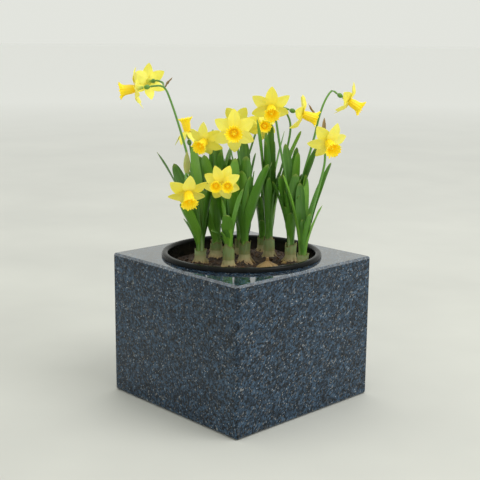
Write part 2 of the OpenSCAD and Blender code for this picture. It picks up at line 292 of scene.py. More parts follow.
# %% [markdown]
# ## Effects that several finishes share
# Granite, soil and plastic are all made of grains, and every part of a plant has fine lines that run
# along it. Each such effect is a node group, built once and placed in each material with its own
# values. *Grains* gives every small cell a random value. *Fibres* gives long thin streaks and even
# veins along a piece's own UV map. *Clouds* gives slow, soft variation.

# %% Making and placing an effect
def effect(name, inputs, outputs):
    """An empty node group with named sockets: returns the group, its inputs and its outputs."""
    group = bpy.data.node_groups.new(name, "ShaderNodeTree")
    for label, kind, value in inputs:
        socket = group.interface.new_socket(label, in_out="INPUT", socket_type=kind)
        if value is not None:
            socket.default_value = value
    for label in outputs:
        group.interface.new_socket(label, in_out="OUTPUT", socket_type="NodeSocketFloat")
    return group, group.nodes.new("NodeGroupInput").outputs, group.nodes.new("NodeGroupOutput").inputs


def place_effect(tree, group, vector, **values):
    """Place a group in a material, on this vector and with these values."""
    made = node(tree, "ShaderNodeGroup", node_tree=group)
    wire(tree, vector, made.inputs["Vector"])
    for label, value in values.items():
        made.inputs[label.replace("_", " ")].default_value = value
    return made.outputs


print("effect helpers ready")

# %% Grains
grains, given, result = effect(
    "Grains",
    [("Vector", "NodeSocketVector", None), ("Per Metre", "NodeSocketFloat", 500.0)],
    ["Value", "Depth"],
)
cells = node(grains, "ShaderNodeTexVoronoi", feature="F1")
wire(grains, given["Vector"], cells.inputs["Vector"])
wire(grains, given["Per Metre"], cells.inputs["Scale"])
parts = node(grains, "ShaderNodeSeparateColor")
wire(grains, cells.outputs["Color"], parts.inputs["Color"])
wire(grains, parts.outputs[0], result["Value"])
wire(grains, cells.outputs["Distance"], result["Depth"])
print("effect:", grains.name)

# %% Fibres
fibres, given, result = effect(
    "Fibres",
    [
        ("Vector", "NodeSocketVector", None),
        ("Across", "NodeSocketFloat", 40.0),
        ("Along", "NodeSocketFloat", 2.0),
        ("Veins", "NodeSocketFloat", 12.0),
    ],
    ["Streaks", "Lines"],
)
uv_parts = node(fibres, "ShaderNodeSeparateXYZ")
wire(fibres, given["Vector"], uv_parts.inputs[0])
stretched = node(fibres, "ShaderNodeCombineXYZ")
wire(fibres, sums(fibres, "MULTIPLY", uv_parts.outputs[0], given["Across"]), stretched.inputs[0])
wire(fibres, sums(fibres, "MULTIPLY", uv_parts.outputs[1], given["Along"]), stretched.inputs[1])
wire(fibres, uv_parts.outputs[2], stretched.inputs[2])
streak_noise = node(fibres, "ShaderNodeTexNoise")
streak_noise.inputs["Scale"].default_value = 1.0
streak_noise.inputs["Detail"].default_value = 4.0
wire(fibres, stretched.outputs[0], streak_noise.inputs["Vector"])
wire(fibres, spread_value(fibres, streak_noise.outputs[0], 0.3, 0.7), result["Streaks"])
vein_share = sums(fibres, "MULTIPLY", uv_parts.outputs[0], given["Veins"])
vein_wave = sums(fibres, "COSINE", sums(fibres, "MULTIPLY", vein_share, 2 * math.pi))
wire(fibres, spread_value(fibres, vein_wave, -1, 1), result["Lines"])
print("effect:", fibres.name)

# %% Clouds
clouds, given, result = effect(
    "Clouds",
    [
        ("Vector", "NodeSocketVector", None),
        ("Per Metre", "NodeSocketFloat", 20.0),
        ("Detail", "NodeSocketFloat", 3.0),
    ],
    ["Value"],
)
cloud_noise = node(clouds, "ShaderNodeTexNoise")
wire(clouds, given["Vector"], cloud_noise.inputs["Vector"])
wire(clouds, given["Per Metre"], cloud_noise.inputs["Scale"])
wire(clouds, given["Detail"], cloud_noise.inputs["Detail"])
wire(clouds, spread_value(clouds, cloud_noise.outputs[0], 0.3, 0.7), result["Value"])
print("effect:", clouds.name)

# %% [markdown]
# ## Floor and light
# The planter stands on a plain pale floor that runs out to a background of nearly the same tone.
# The light is soft and comes from above, a little from the right, so the right-hand face of the
# stone is slightly paler and the shadow falls softly to the left. Large area lights do that. The
# floor grows paler with distance, as a studio sweep does, so that no horizon line shows.

# %% Floor
bpy.ops.object.select_all(action="DESELECT")
bpy.ops.mesh.primitive_circle_add(vertices=64, radius=40.0, fill_type="NGON")
floor = named("pale_floor")
floor_finish, tree, shader = new_finish("pale_floor")
place = node(tree, "ShaderNodeTexCoord").outputs["Object"]
unevenness = place_effect(tree, clouds, place, Per_Metre=3.0)["Value"]
far = node(tree, "ShaderNodeVectorMath", operation="LENGTH")
wire(tree, place, far.inputs[0])
near_tone = ramp(tree, unevenness, [(0, (0.575, 0.578, 0.542)), (1, (0.640, 0.643, 0.600))])
sweep_starts, sweep_ends, far_tone = 0.6, 6.0, (0.97, 0.97, 0.965)
sweep = spread_value(tree, far.outputs["Value"], sweep_starts, sweep_ends)
wire(tree, blend_colours(tree, sweep, near_tone, far_tone), shader.inputs["Base Color"])
shader.inputs["Roughness"].default_value = 0.75
floor.data.materials.append(floor_finish)
floor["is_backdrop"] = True
print("floor paler from", sweep_starts, "to", sweep_ends, "m")

# %% Light
world = bpy.data.worlds.new("studio")
bpy.context.scene.world = world
world.use_nodes = True
world.node_tree.nodes["Background"].inputs["Color"].default_value = (0.765, 0.778, 0.728, 1)
world.node_tree.nodes["Background"].inputs["Strength"].default_value = 1.0

to_right = Vector((math.cos(azimuth), math.sin(azimuth), 0))
to_viewer = Vector((math.sin(azimuth), -math.cos(azimuth), 0))
middle = Vector((0, 0, 0.25))
for name, place_of, size, power in (
    ("key_light", middle + 1.5 * to_right + 0.7 * to_viewer + Vector((0, 0, 1.9)), 1.6, 26),
    ("top_light", middle - 0.4 * to_viewer + Vector((0, 0, 2.4)), 2.2, 14),
):
    bpy.ops.object.light_add(type="AREA", location=place_of)
    light = named(name)
    light.data.size = size
    light.data.energy = power
    light.rotation_mode = "QUATERNION"
    light.rotation_quaternion = (middle - place_of).to_track_quat("-Z", "Y")

# %% [markdown]
# ## The stone
# The block is blue-grey granite, sawn and polished. Its grains are one to three millimetres wide:
# charcoal, blue-grey, and a few warm or pale specks. A Voronoi pattern gives grains with sharp edges,
# as real crystals have, at two sizes, slightly stretched along one slanting direction. The shape of
# the CAD block is already right, so it only gets this finish.

# %% Granite grains
stone_low, stone_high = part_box("granite_block")
granite, tree, shader = new_finish("granite")
place = node(tree, "ShaderNodeTexCoord").outputs["Object"]
leaning = node(tree, "ShaderNodeMapping")
leaning.inputs["Rotation"].default_value = (0.80, 0.15, 0.0)
wire(tree, place, leaning.inputs["Vector"])
slanted = node(tree, "ShaderNodeMapping")
slanted.inputs["Scale"].default_value = (1.0, 1.0, 0.70)
wire(tree, leaning.outputs[0], slanted.inputs["Vector"])
coarse_grains, fine_grains = 440.0, 900.0
coarse = place_effect(tree, grains, slanted.outputs[0], Per_Metre=coarse_grains)
fine = place_effect(tree, grains, slanted.outputs[0], Per_Metre=fine_grains)
patches = place_effect(tree, clouds, slanted.outputs[0], Per_Metre=110.0, Detail=5.0)
crystals = ramp(tree, coarse["Value"], [
    (0.0, (0.002, 0.004, 0.007)), (0.27, (0.008, 0.016, 0.028)), (0.45, (0.026, 0.060, 0.108)),
    (0.69, (0.070, 0.138, 0.230)), (0.955, (0.140, 0.150, 0.160)), (0.99, (0.34, 0.35, 0.35)),
], smooth=False)
specks = ramp(tree, fine["Value"], [
    (0.0, (0.002, 0.003, 0.006)), (0.35, (0.015, 0.030, 0.050)), (0.68, (0.055, 0.095, 0.148)),
    (0.94, (0.200, 0.190, 0.175)), (0.98, (0.62, 0.62, 0.60)),
], smooth=False)
stone = blend_colours(tree, 0.5, crystals, specks)
patch_share = spread_value(tree, patches["Value"], 0.25, 0.85, 0.0, 0.70)
stone = blend_colours(tree, patch_share, stone, (0.40, 0.40, 0.42), "MULTIPLY")
print("grains per metre:", coarse_grains, "and", fine_grains)

# %% [markdown]
# The polish is a low roughness, a little uneven, and the grains stand out by a hair in the relief.
# The top is polished higher than the sides, which a clear coat on the top face alone gives. The
# narrow arris round the top was only ground, so it is less glossy. Its paler colour is a painted
# highlight for the light its bevel catches. It is found from how near a point is to the top and
# to a side at once.

# %% Granite polish
corner_sum = []
split = node(tree, "ShaderNodeSeparateXYZ")
wire(tree, place, split.inputs[0])
off_z = sums(tree, "SUBTRACT", split.outputs[2], stone_high.z)
for k in (0, 1):
    off_side = sums(tree, "SUBTRACT", sums(tree, "ABSOLUTE", split.outputs[k]), stone_high.x)
    corner_sum.append(sums(tree, "ADD", off_side, off_z))
arris_w = 3.05 * MM
arris = sums(tree, "GREATER_THAN", sums(tree, "MAXIMUM", *corner_sum), -arris_w)
# Painted highlight: a paler grey is washed over the arris for the light its bevel catches.
arris_painted_highlight = blend_colours(tree, fine["Value"], (0.16, 0.18, 0.21), (0.42, 0.44, 0.47))
wire(tree, wash(tree, stone, arris, 0.42, arris_painted_highlight), shader.inputs["Base Color"])
polish = spread_value(tree, fine["Value"], 0, 1, 0.03, 0.10)
wire(tree, sums(tree, "ADD", polish, sums(tree, "MULTIPLY", arris, 0.12)), shader.inputs["Roughness"])
shader.inputs["Specular IOR Level"].default_value = 0.30
top_face = sums(tree, "GREATER_THAN", off_z, -0.05 * MM)
wire(tree, sums(tree, "MULTIPLY", top_face, 0.65), shader.inputs["Coat Weight"])
shader.inputs["Coat Roughness"].default_value = 0.06
bump(tree, shader, coarse["Depth"], 0.02, 0.0003)

block = nodes["granite_block"]
block.data.materials.clear()
block.data.materials.append(granite)
print("stone:", [round(x, 3) for x in (stone_high - stone_low)])

# %% [markdown]
# ## Turning round pieces
# The pot, the bulbs, the sheaths and the flowers' cups are all turned shapes. By hand you would add a
# circle, extrude its edge, resize the new ring, lift it, and do that again up the profile. The
# helper below does the same for a list of (radius, height). It fills the two ends and turns the
# faces outwards.

# %% Turning helper
def in_mm(*profile):
    """A profile given in millimetres."""
    return [(radius * MM, height * MM) for radius, height in profile]


def turned(name, profile, around, close=True):
    """A ring extruded along a profile of (radius, height) points about the upright axis."""
    radius, height = profile[0]
    bpy.ops.object.select_all(action="DESELECT")
    bpy.ops.mesh.primitive_circle_add(vertices=around, radius=radius, location=(0, 0, height))
    piece = named(name)
    bpy.ops.object.mode_set(mode="EDIT")
    bpy.ops.mesh.select_mode(type="VERT")
    bpy.ops.mesh.select_all(action="SELECT")
    for next_radius, next_height in profile[1:]:
        share = next_radius / radius
        bpy.ops.mesh.extrude_region_move()
        bpy.ops.transform.resize(value=(share, share, 1), center_override=(0, 0, 0))
        bpy.ops.transform.translate(value=(0, 0, next_height - height))
        radius, height = next_radius, next_height
    bpy.ops.mesh.select_all(action="SELECT")
    if close:
        bpy.ops.mesh.fill_holes(sides=0)
        bpy.ops.mesh.select_all(action="SELECT")
        bpy.ops.mesh.normals_make_consistent(inside=False)
    bpy.ops.object.mode_set(mode="OBJECT")
    return settle(piece)


def wrap_uv(piece, low=None, high=None):
    """A UV map wound round the upright axis: u is the angle, v the height from low to high."""
    points = points_of(piece)
    low = points[:, 2].min() if low is None else low
    high = points[:, 2].max() if high is None else high
    if not piece.data.uv_layers:
        piece.data.uv_layers.new(name="UVMap")
    uv = piece.data.uv_layers.active.data
    for face in piece.data.polygons:
        angles = [math.atan2(points[v][1], points[v][0]) / (2 * math.pi) for v in face.vertices]
        wrapped = max(angles) - min(angles) > 0.5
        for loop, vertex, angle in zip(face.loop_indices, face.vertices, angles):
            u = angle + 1 if wrapped and angle < 0 else angle
            uv[loop].uv = (u, (points[vertex][2] - low) / (high - low))
    return piece


def smooth(piece, degrees):
    """Shade a piece smooth, but keep edges sharper than this angle."""
    only(piece)
    bpy.ops.object.shade_smooth_by_angle(angle=math.radians(degrees))
    return piece


print("turning helpers ready")

# %% [markdown]
# ## The insert pot
# The pot is moulded in black plastic. Its rim is rolled: flat where it sits on the stone, round on
# top, with a small step inside it. Below it the wall tapers to a floor with drainage holes. Turning
# the whole section from the middle of the floor's underside, up the outside, over the rim and down
# the inside, makes one closed wall of even thickness. The holes are cut with a Boolean modifier,
# which suits clean round cuts in a clean shell.

# %% Turning the pot
pot_low, pot_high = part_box("insert_pot")
rim_r, rim_top, stone_top, pot_foot = pot_high.x, pot_high.z, stone_high.z, pot_low.z
rim_in = rim_r - 9 * MM
wall_top_r, floor_r = rim_r - 7 * MM, rim_r - 21 * MM
wall = 2 * MM


def wall_radius(height, inset=0.0):
    """Outer radius of the tapered wall at a height, less an inset."""
    share = (height - pot_foot) / (stone_top - pot_foot)
    return floor_r + (wall_top_r - floor_r) * share - inset


floor_top = pot_foot + 2.5 * MM
section = [
    (2 * MM, pot_foot + 1.2 * MM), (floor_r - 8 * MM, pot_foot + 1.2 * MM),
    (floor_r - 7 * MM, pot_foot), (floor_r - 1.5 * MM, pot_foot), (floor_r, pot_foot + 1.5 * MM),
]
section += [(wall_radius(z), z) for z in np.linspace(pot_foot + 0.02, stone_top - 0.02, 8)]
section += [
    (wall_top_r, stone_top - 3 * MM), (wall_top_r, stone_top + 0.1 * MM),
    (rim_r - 0.6 * MM, stone_top + 0.1 * MM), (rim_r, stone_top + 0.5 * MM),
    (rim_r, stone_top + 2.4 * MM), (rim_r - 0.35 * MM, rim_top - 2.2 * MM),
    (rim_r - 1.1 * MM, rim_top - 1.0 * MM), (rim_r - 2.2 * MM, rim_top - 0.25 * MM),
    (rim_r - 3.6 * MM, rim_top), (rim_r - 5.4 * MM, rim_top), (rim_r - 6.8 * MM, rim_top - 0.3 * MM),
    (rim_r - 8.0 * MM, rim_top - 1.2 * MM), (rim_in + 0.2 * MM, rim_top - 2.6 * MM),
    (rim_in, stone_top + 0.6 * MM), (rim_in, stone_top - 5 * MM),
    (wall_radius(stone_top - 7 * MM, wall), stone_top - 7 * MM),
]
section += [(wall_radius(z, wall), z) for z in np.linspace(stone_top - 0.02, floor_top + 0.012, 9)]
section += [(floor_r - wall - 3 * MM, floor_top), (2 * MM, floor_top)]
pot = turned("insert_pot_moulded", section, 144)
print("pot section:", len(section), "points")

# %% Drainage holes
drain_count, drain_r, drain_ring_r = 8, 4 * MM, floor_r - 25 * MM
cutters = []
for k in range(drain_count):
    angle = 2 * math.pi * k / drain_count
    bpy.ops.object.select_all(action="DESELECT")
    bpy.ops.mesh.primitive_cylinder_add(
        vertices=32, radius=drain_r, depth=0.02,
        location=(drain_ring_r * math.cos(angle), drain_ring_r * math.sin(angle), pot_foot),
    )
    cutters.append(named(f"drain_cutter_{k}"))
holes = join_to(cutters[0], cutters[1:])
cut = pot.modifiers.new("drain_holes", "BOOLEAN")
cut.operation = "DIFFERENCE"
cut.object = holes
finish_modifiers(pot)
bpy.data.objects.remove(holes)
smooth(pot, 32)
print("pot:", len(pot.data.polygons), "faces, rim radius", round(rim_r, 4))

# %% [markdown]
# Black plastic is never a flat black. It has a satin grain from the mould, faint scuffs and
# fingermarks that change its gloss, and on the inside dried splashes of watered soil. The grain goes
# into the relief, the scuffs into the roughness, and the splashes into the colour below the rim.

# %% Pot plastic
plastic, tree, shader = new_finish("pot_plastic")
place = node(tree, "ShaderNodeTexCoord").outputs["Object"]
scuffs = place_effect(tree, clouds, place, Per_Metre=90.0, Detail=6.0)["Value"]
mould_grain = place_effect(tree, grains, place, Per_Metre=2600.0)
height_of = node(tree, "ShaderNodeSeparateXYZ")
wire(tree, place, height_of.inputs[0])
below_rim = spread_value(tree, height_of.outputs[2], stone_top, stone_top - 12 * MM)
splash = sums(tree, "MULTIPLY", below_rim, scuffs)
black = ramp(tree, scuffs, [(0, (0.005, 0.006, 0.006)), (1, (0.010, 0.011, 0.011))])
wire(tree, wash(tree, black, splash, 0.5, (0.06, 0.045, 0.03)), shader.inputs["Base Color"])
gloss(tree, shader, scuffs, 0.16, 0.30)
shader.inputs["Specular IOR Level"].default_value = 0.09
bump(tree, shader, mould_grain["Depth"], 0.05, 0.0001)
pot.data.materials.append(plastic)
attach(pot, "insert")
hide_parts("insert_pot")
print("pot finish:", plastic.name)

# %% [markdown]
# ## Reading the plants from the frame
# The CAD model holds each leaf and stalk as a plain tube of rings. The helpers below merge a node's
# points, split it into its separate solids, and walk up the rings from the lowest one. That gives
# the line each leaf follows, how wide it is there, and which way its flat side faces, so that the
# finished leaf lies exactly where the CAD one is.

# %% Solids and rings of a CAD node
def solids_of(name):
    """Each solid of a CAD node: its points, and for each point the points it is joined to."""
    mesh = nodes[name].data
    co = points_of(nodes[name])
    points, same = np.unique(np.round(co, 7), axis=0, return_inverse=True)
    same = same.ravel()
    links = [set() for _ in points]
    for edge in mesh.edges:
        a, b = same[edge.vertices[0]], same[edge.vertices[1]]
        if a != b:
            links[a].add(b)
            links[b].add(a)
    left, solids = set(range(len(points))), []
    while left:
        found, edge_of = set(), [min(left)]
        while edge_of:
            here = edge_of.pop()
            if here not in found:
                found.add(here)
                edge_of.extend(links[here] - found)
        left -= found
        solids.append((points, links, sorted(found)))
    return solids


def members_of(solid):
    """The points of one solid, one row each."""
    points, _, members = solid
    return points[members]


def numbered(prefix):
    """The CAD nodes whose names are this prefix and a number, in order."""
    return sorted((n for n in nodes if n.startswith(prefix)), key=lambda n: int(n.split("_")[1]))


def rings_of(solid, corners):
    """The rings of a tapered solid, from the lowest one up, each a list of its corner points."""
    points, links, members = solid
    ring = sorted(members, key=lambda i: points[i][2])[:corners]
    seen, rings = set(ring), [ring]
    while True:
        ring = sorted({n for i in ring for n in links[i]} - seen)
        if not ring:
            return [points[r] for r in rings]
        seen |= set(ring)
        rings.append(ring)


def rings_from_tip(solid, corners, used):
    """The free rings of one leaf of a grown-together pair, from its tip down, with a foot added below."""
    points, links, members = solid
    ring = sorted((m for m in members if m not in used), key=lambda i: -points[i][2])[:corners]
    seen, rings = set(ring) | used, [ring]
    while True:
        ring = sorted({n for i in ring for n in links[i]} - seen)
        if len(ring) != corners:
            break
        seen |= set(ring)
        rings.append(ring)
    used |= {i for r in rings for i in r}
    found = [points[r] for r in rings[::-1]]
    floor_z = min(points[m][2] for m in members)
    foot = np.mean([points[m] for m in members if points[m][2] < floor_z + 1 * MM], axis=0)
    narrow = 0.62 * (found[0] - found[0].mean(0))
    halfway = foot + np.array([0, 0, 0.5 * (found[0].mean(0)[2] - floor_z)])
    return [foot + narrow * [1, 1, 0], halfway + narrow * [1, 1, 0]] + found


bulb_names = numbered("bulb_")
bulb_solids = [(name, members_of(solid)) for name in bulb_names for solid in solids_of(name)]
bulb_middles = np.array([(points.min(0) + points.max(0)) / 2 for _, points in bulb_solids])
print("bulbs:", len(bulb_solids))

# %% [markdown]
# The middle points of the rings are a coarse line. A smooth curve through them is read at as many
# places as the finished piece has points, together with the direction it runs in there. When all the
# leaves of a tuft are laid, they are gathered into one object.

# %% Lines and gathering
def line_through(knots, at, where):
    """A smooth line through knots that lie at the given distances, read at other distances."""
    knots, at, where = np.asarray(knots, float), np.asarray(at, float), np.asarray(where, float)
    slopes = np.gradient(knots, at, axis=0)
    k = np.clip(np.searchsorted(at, where) - 1, 0, len(at) - 2)
    step = (at[k + 1] - at[k])[:, None]
    t = (where - at[k])[:, None] / step
    return (
        (2 * t**3 - 3 * t**2 + 1) * knots[k] + (t**3 - 2 * t**2 + t) * slopes[k] * step
        + (3 * t**2 - 2 * t**3) * knots[k + 1] + (t**3 - t**2) * slopes[k + 1] * step
    )


def unit(v):
    """Directions with length one."""
    v = np.asarray(v, float)
    return v / np.maximum(np.linalg.norm(v, axis=-1, keepdims=True), 1e-12)


def distances(points):
    """How far along a line each of its points lies."""
    return np.concatenate([[0], np.cumsum(np.linalg.norm(np.diff(points, axis=0), axis=1))])


def course(centres, at, where):
    """Places and directions along a line, at the given distances."""
    ahead = line_through(centres, at, np.clip(where + 1 * MM, 0, at[-1]))
    behind = line_through(centres, at, np.clip(where - 1 * MM, 0, at[-1]))
    return line_through(centres, at, where), unit(ahead - behind)


def gathered(name, pattern, laid, tones):
    """One object from many laid copies of a pattern piece, each with its own tone."""
    per, faces = len(pattern.data.vertices), [list(p.vertices) for p in pattern.data.polygons]
    uv = np.empty(len(pattern.data.loops) * 2)
    pattern.data.uv_layers.active.data.foreach_get("uv", uv)
    mesh = bpy.data.meshes.new(name)
    all_faces = [[v + per * k for v in f] for k in range(len(laid)) for f in faces]
    mesh.from_pydata(np.concatenate(laid).tolist(), [], all_faces)
    layer = mesh.uv_layers.new(name="UVMap")
    layer.data.foreach_set("uv", np.tile(uv, len(laid)))
    tone = mesh.attributes.new("tone", "FLOAT", "POINT")
    tone.data.foreach_set("value", np.repeat(np.asarray(tones, float), per))
    mesh.update()
    piece = bpy.data.objects.new(name, mesh)
    bpy.context.scene.collection.objects.link(piece)
    return piece


print("laying helpers ready")

# %% [markdown]
# ## Pattern strip
# Leaves, petals and bracts all start as a straight strip: a grid, moved so that it runs from 0 to 1,
# and thickened by Solidify so that it is closed. Its x is a share of the blade's width, y of its
# length and z of its thickness. Petals and bracts have an outline too, so each row of their grid is
# resized to it. The grid's own UV map stays with the strip, and the veins follow that map.

# %% Pattern strip
def resize_rows(strip, outline):
    """Resize each row of a grid to the outline's width at that share of its length."""
    for height in sorted({round(v.co.y, 4) for v in strip.data.vertices}):
        bpy.ops.object.mode_set(mode="EDIT")
        bpy.ops.mesh.select_all(action="DESELECT")
        bpy.ops.object.mode_set(mode="OBJECT")
        for vertex in strip.data.vertices:
            vertex.select = abs(vertex.co.y - height) < 1e-3
        bpy.ops.object.mode_set(mode="EDIT")
        bpy.ops.transform.resize(value=(outline(height), 1, 1), center_override=(0, 0, 0))
        bpy.ops.object.mode_set(mode="OBJECT")


def pattern_strip(name, across, along, outline=None):
    """A closed flat strip, one unit wide, long and thick, whose y runs from 0 to 1."""
    bpy.ops.object.select_all(action="DESELECT")
    bpy.ops.mesh.primitive_grid_add(
        x_subdivisions=across, y_subdivisions=along, size=1.0, calc_uvs=True
    )
    strip = named(name)
    bpy.ops.object.mode_set(mode="EDIT")
    bpy.ops.mesh.select_all(action="SELECT")
    bpy.ops.transform.translate(value=(0, 0.5, 0))
    bpy.ops.object.mode_set(mode="OBJECT")
    if outline:
        resize_rows(strip, outline)
    thicken = strip.modifiers.new("thickness", "SOLIDIFY")
    thicken.thickness = 1.0
    thicken.offset = 0.0
    return settle(finish_modifiers(strip))


leaf_strip = pattern_strip("leaf_strip", 8, 48)
print("leaf strip:", len(leaf_strip.data.vertices), "points")

# %% [markdown]
# ## Leaves
# A leaf follows its CAD solid's line and faces its tuft. It narrows to a round tip, is folded to a
# shallow channel, and twists and sways a little by chance, more towards the tip, where nothing holds
# it. The tufts are dense, so each CAD leaf also gets two younger ones, which are shorter, more
# upright and turned about the tuft, and which fill the gaps between the others.

# %% Laying a leaf
def ring_widths(rings, centres, tuft_middle):
    """The widest direction across each ring, turned so that the leaf faces its tuft, and its width."""
    sides, widths = [], []
    for ring in rings:
        gaps = np.linalg.norm(ring[:, None] - ring[None], axis=2)
        a, b = np.unravel_index(gaps.argmax(), gaps.shape)
        side = ring[a] - ring[b]
        if sides and side @ sides[-1] < 0:
            side = -side
        sides.append(side / gaps.max())
        widths.append(gaps.max())
    if np.cross(centres[1] - centres[0], sides[0]) @ (tuft_middle - centres[0]) < 0:
        sides = [-s for s in sides]
    return np.array(sides), np.array(widths)


def lay_leaf(rings, tuft_middle, chance, fullness=1.0):
    """The strip's points, laid along a CAD leaf with a natural channel, twist and sway."""
    centres = np.array([r.mean(0) for r in rings])
    sides, full = ring_widths(rings, centres, tuft_middle)
    at = distances(centres)
    strip = points_of(leaf_strip)
    v = strip[:, 1]
    where = v * at[-1]
    full[-2:] = full[-3]
    widening = 0.96 + 0.36 * np.clip((v - 0.14) / 0.22, 0, 1)
    width = line_through(full[:, None], at, where)[:, 0] * widening * fullness
    width *= np.sqrt(np.clip(1 - np.clip((v - 0.62) / 0.38, 0, 1) ** 3.4, 0.0009, 1))
    centre, along = course(centres, at, where)
    side = line_through(sides, at, where)
    side = unit(side - (side * along).sum(1)[:, None] * along)
    inwards = np.cross(along, side)
    free = np.clip((v - 0.2) / 0.8, 0, 1)
    turn = (chance.uniform(-0.7, 0.7) * free**1.6)[:, None]
    side, inwards = (
        side * np.cos(turn) + inwards * np.sin(turn),
        inwards * np.cos(turn) - side * np.sin(turn),
    )
    x = strip[:, 0]
    keel = (0.26 - 0.16 * free) * width * (4 * x**2 - 0.25)
    ripple = 0.35 * MM * np.sin(v * chance.uniform(16, 26) + chance.uniform(0, 6)) * (2 * x) * free
    sway = chance.uniform(-2.2, 2.2) * MM * np.sin(math.pi * v * chance.uniform(0.8, 1.6)) * free
    thick = (1.0 - 0.62 * np.abs(2 * x) ** 2) * MM * (1 - 0.4 * free)
    return (
        centre + side * (x * width + sway)[:, None]
        + inwards * (keel + ripple + strip[:, 2] * thick)[:, None]
    )


def younger(ring, tuft_middle, turn, share):
    """A leaf's ring turned about its tuft, drawn in and lowered, for a younger leaf."""
    ring_middle = ring.mean(0)
    out = ring_middle - tuft_middle
    distance = math.hypot(out[0], out[1])
    kept_r = 4.5 * MM
    drawn_in = min(distance, kept_r + 0.45 * max(0, distance - kept_r)) / max(distance, 1e-6)
    x, y, z = (ring - ring_middle + out * np.array([drawn_in, drawn_in, share])).T
    c, s = math.cos(turn), math.sin(turn)
    return tuft_middle + np.column_stack([x * c - y * s, x * s + y * c, z])


def leaves_in(name, corners=6):
    """The rings of each leaf of a CAD node. A solid whose rings are uneven is a pair of leaves."""
    found = []
    for solid in solids_of(name):
        rings = rings_of(solid, corners)
        if all(len(r) == corners for r in rings):
            found.append(rings)
        else:
            used = set()
            found += [rings_from_tip(solid, corners, used) for _ in range(2)]
    return found


print("leaf helpers ready")

# %% Tufts of leaves
tufts, leaf_count, leaf_feet = [], 0, []
for name in numbered("leaves_"):
    chance = random.Random(name)
    laid, tones = [], []
    for rings in leaves_in(name):
        foot = rings[0].mean(0)
        leaf_feet.append(foot[:2])
        off_bulbs = np.linalg.norm(bulb_middles[:, :2] - foot[:2], axis=1)
        nearest = bulb_middles[off_bulbs.argmin()].copy()
        nearest[2] = foot[2]
        laid.append(lay_leaf(rings, nearest, chance))
        tones.append(chance.random())
        for low_share, high_share in ((0.76, 0.94), (0.56, 0.76)):
            turn = chance.choice((-1, 1)) * chance.uniform(0.5, 1.6)
            share = chance.uniform(low_share, high_share)
            young = [younger(r, nearest, turn, share) for r in rings]
            laid.append(lay_leaf(young, nearest, chance, 0.55 + 0.4 * share))
            tones.append(chance.random())
    tuft = gathered(name + "_blades", leaf_strip, laid, tones)
    leaf_count += len(laid)
    smooth(tuft, 50)
    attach(tuft, "planting")
    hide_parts(name)
    tufts.append(tuft)
bpy.data.objects.remove(leaf_strip)
off_leaves = [np.linalg.norm(np.array(leaf_feet) - b[:2], axis=1).min() for b in bulb_middles]
bare = int(np.argmax(off_leaves))
print("leaves:", leaf_count, "in", len(tufts), "tufts; bulb without leaves:", bare)

# %% [markdown]
# ## Leaf finish
# A daffodil leaf is a smooth, thick strap. It is mid to dark green under a faint bluish bloom, with
# fine veins along it, pale where it comes out of the bulb and sometimes yellow at the tip. Light
# passes a little way into it, which subsurface scattering gives. Each leaf has its own tone, stored
# as an attribute, so that no two neighbours are quite the same green. All the plant finishes start
# with the same nodes, so a helper makes those.

# %% Start of every plant finish
def plant_finish(name, across, along, veins):
    """A finish and the values it is drawn from: fibres, tone, height up the piece, and place."""
    material, tree, shader = new_finish(name)
    coordinates = node(tree, "ShaderNodeTexCoord").outputs
    fibre = place_effect(tree, fibres, coordinates["UV"], Across=across, Along=along, Veins=veins)
    split = node(tree, "ShaderNodeSeparateXYZ")
    wire(tree, coordinates["UV"], split.inputs[0])
    given = {
        "streaks": fibre["Streaks"],
        "lines": fibre["Lines"],
        "tone": node(tree, "ShaderNodeAttribute", attribute_name="tone").outputs["Fac"],
        "height": split.outputs[1],
        "place": coordinates["Object"],
    }
    return material, tree, shader, given


print("plant finish helper ready")

# %% Leaf finish
leaf_finish, tree, shader, given = plant_finish("leaf", across=34.0, along=1.6, veins=11.0)
green = ramp(tree, given["tone"], [
    (0, (0.018, 0.090, 0.004)), (0.5, (0.076, 0.265, 0.009)), (1, (0.235, 0.520, 0.036)),
])
green = wash(tree, green, given["streaks"], 0.5, (0.24, 0.50, 0.060))
green = wash(tree, green, given["lines"], 0.40, (0.010, 0.06, 0.005))
blotches = place_effect(tree, clouds, given["place"], Per_Metre=60.0)["Value"]
green = wash(tree, green, blotches, 0.14, (0.16, 0.30, 0.15))
low_part = spread_value(tree, given["height"], 0.17, 0.02)
green = wash(tree, green, low_part, 0.75, (0.28, 0.42, 0.12))
tip_part = spread_value(tree, given["height"], 0.95, 1.0)
green = wash(tree, green, tip_part, 0.4, (0.42, 0.44, 0.08))
wire(tree, green, shader.inputs["Base Color"])
gloss(tree, shader, given["streaks"], 0.24, 0.42)
shader.inputs["Specular IOR Level"].default_value = 0.42
let_light_in(shader, 0.12, 0.0012, (0.6, 1.0, 0.2))
bump(tree, shader, given["lines"], 0.22, 0.0003)
for tuft in tufts:
    tuft.data.materials.append(leaf_finish)
print("leaf finish on", len(tufts), "tufts")

# %% [markdown]
# ## Stalks
# A flower stalk is a hollow green stem, slightly ribbed, pale at the foot. Its pattern piece is a
# cylinder ten faces round, extruded ring by ring, and it is laid along the CAD stalk's line with that
# stalk's own radius.

# %% Pattern stalk
stalk_rings = 56
stalk_pattern = turned("stalk_pattern", [(1.0, k / stalk_rings) for k in range(stalk_rings + 1)], 10)
wrap_uv(stalk_pattern, 0, 1)


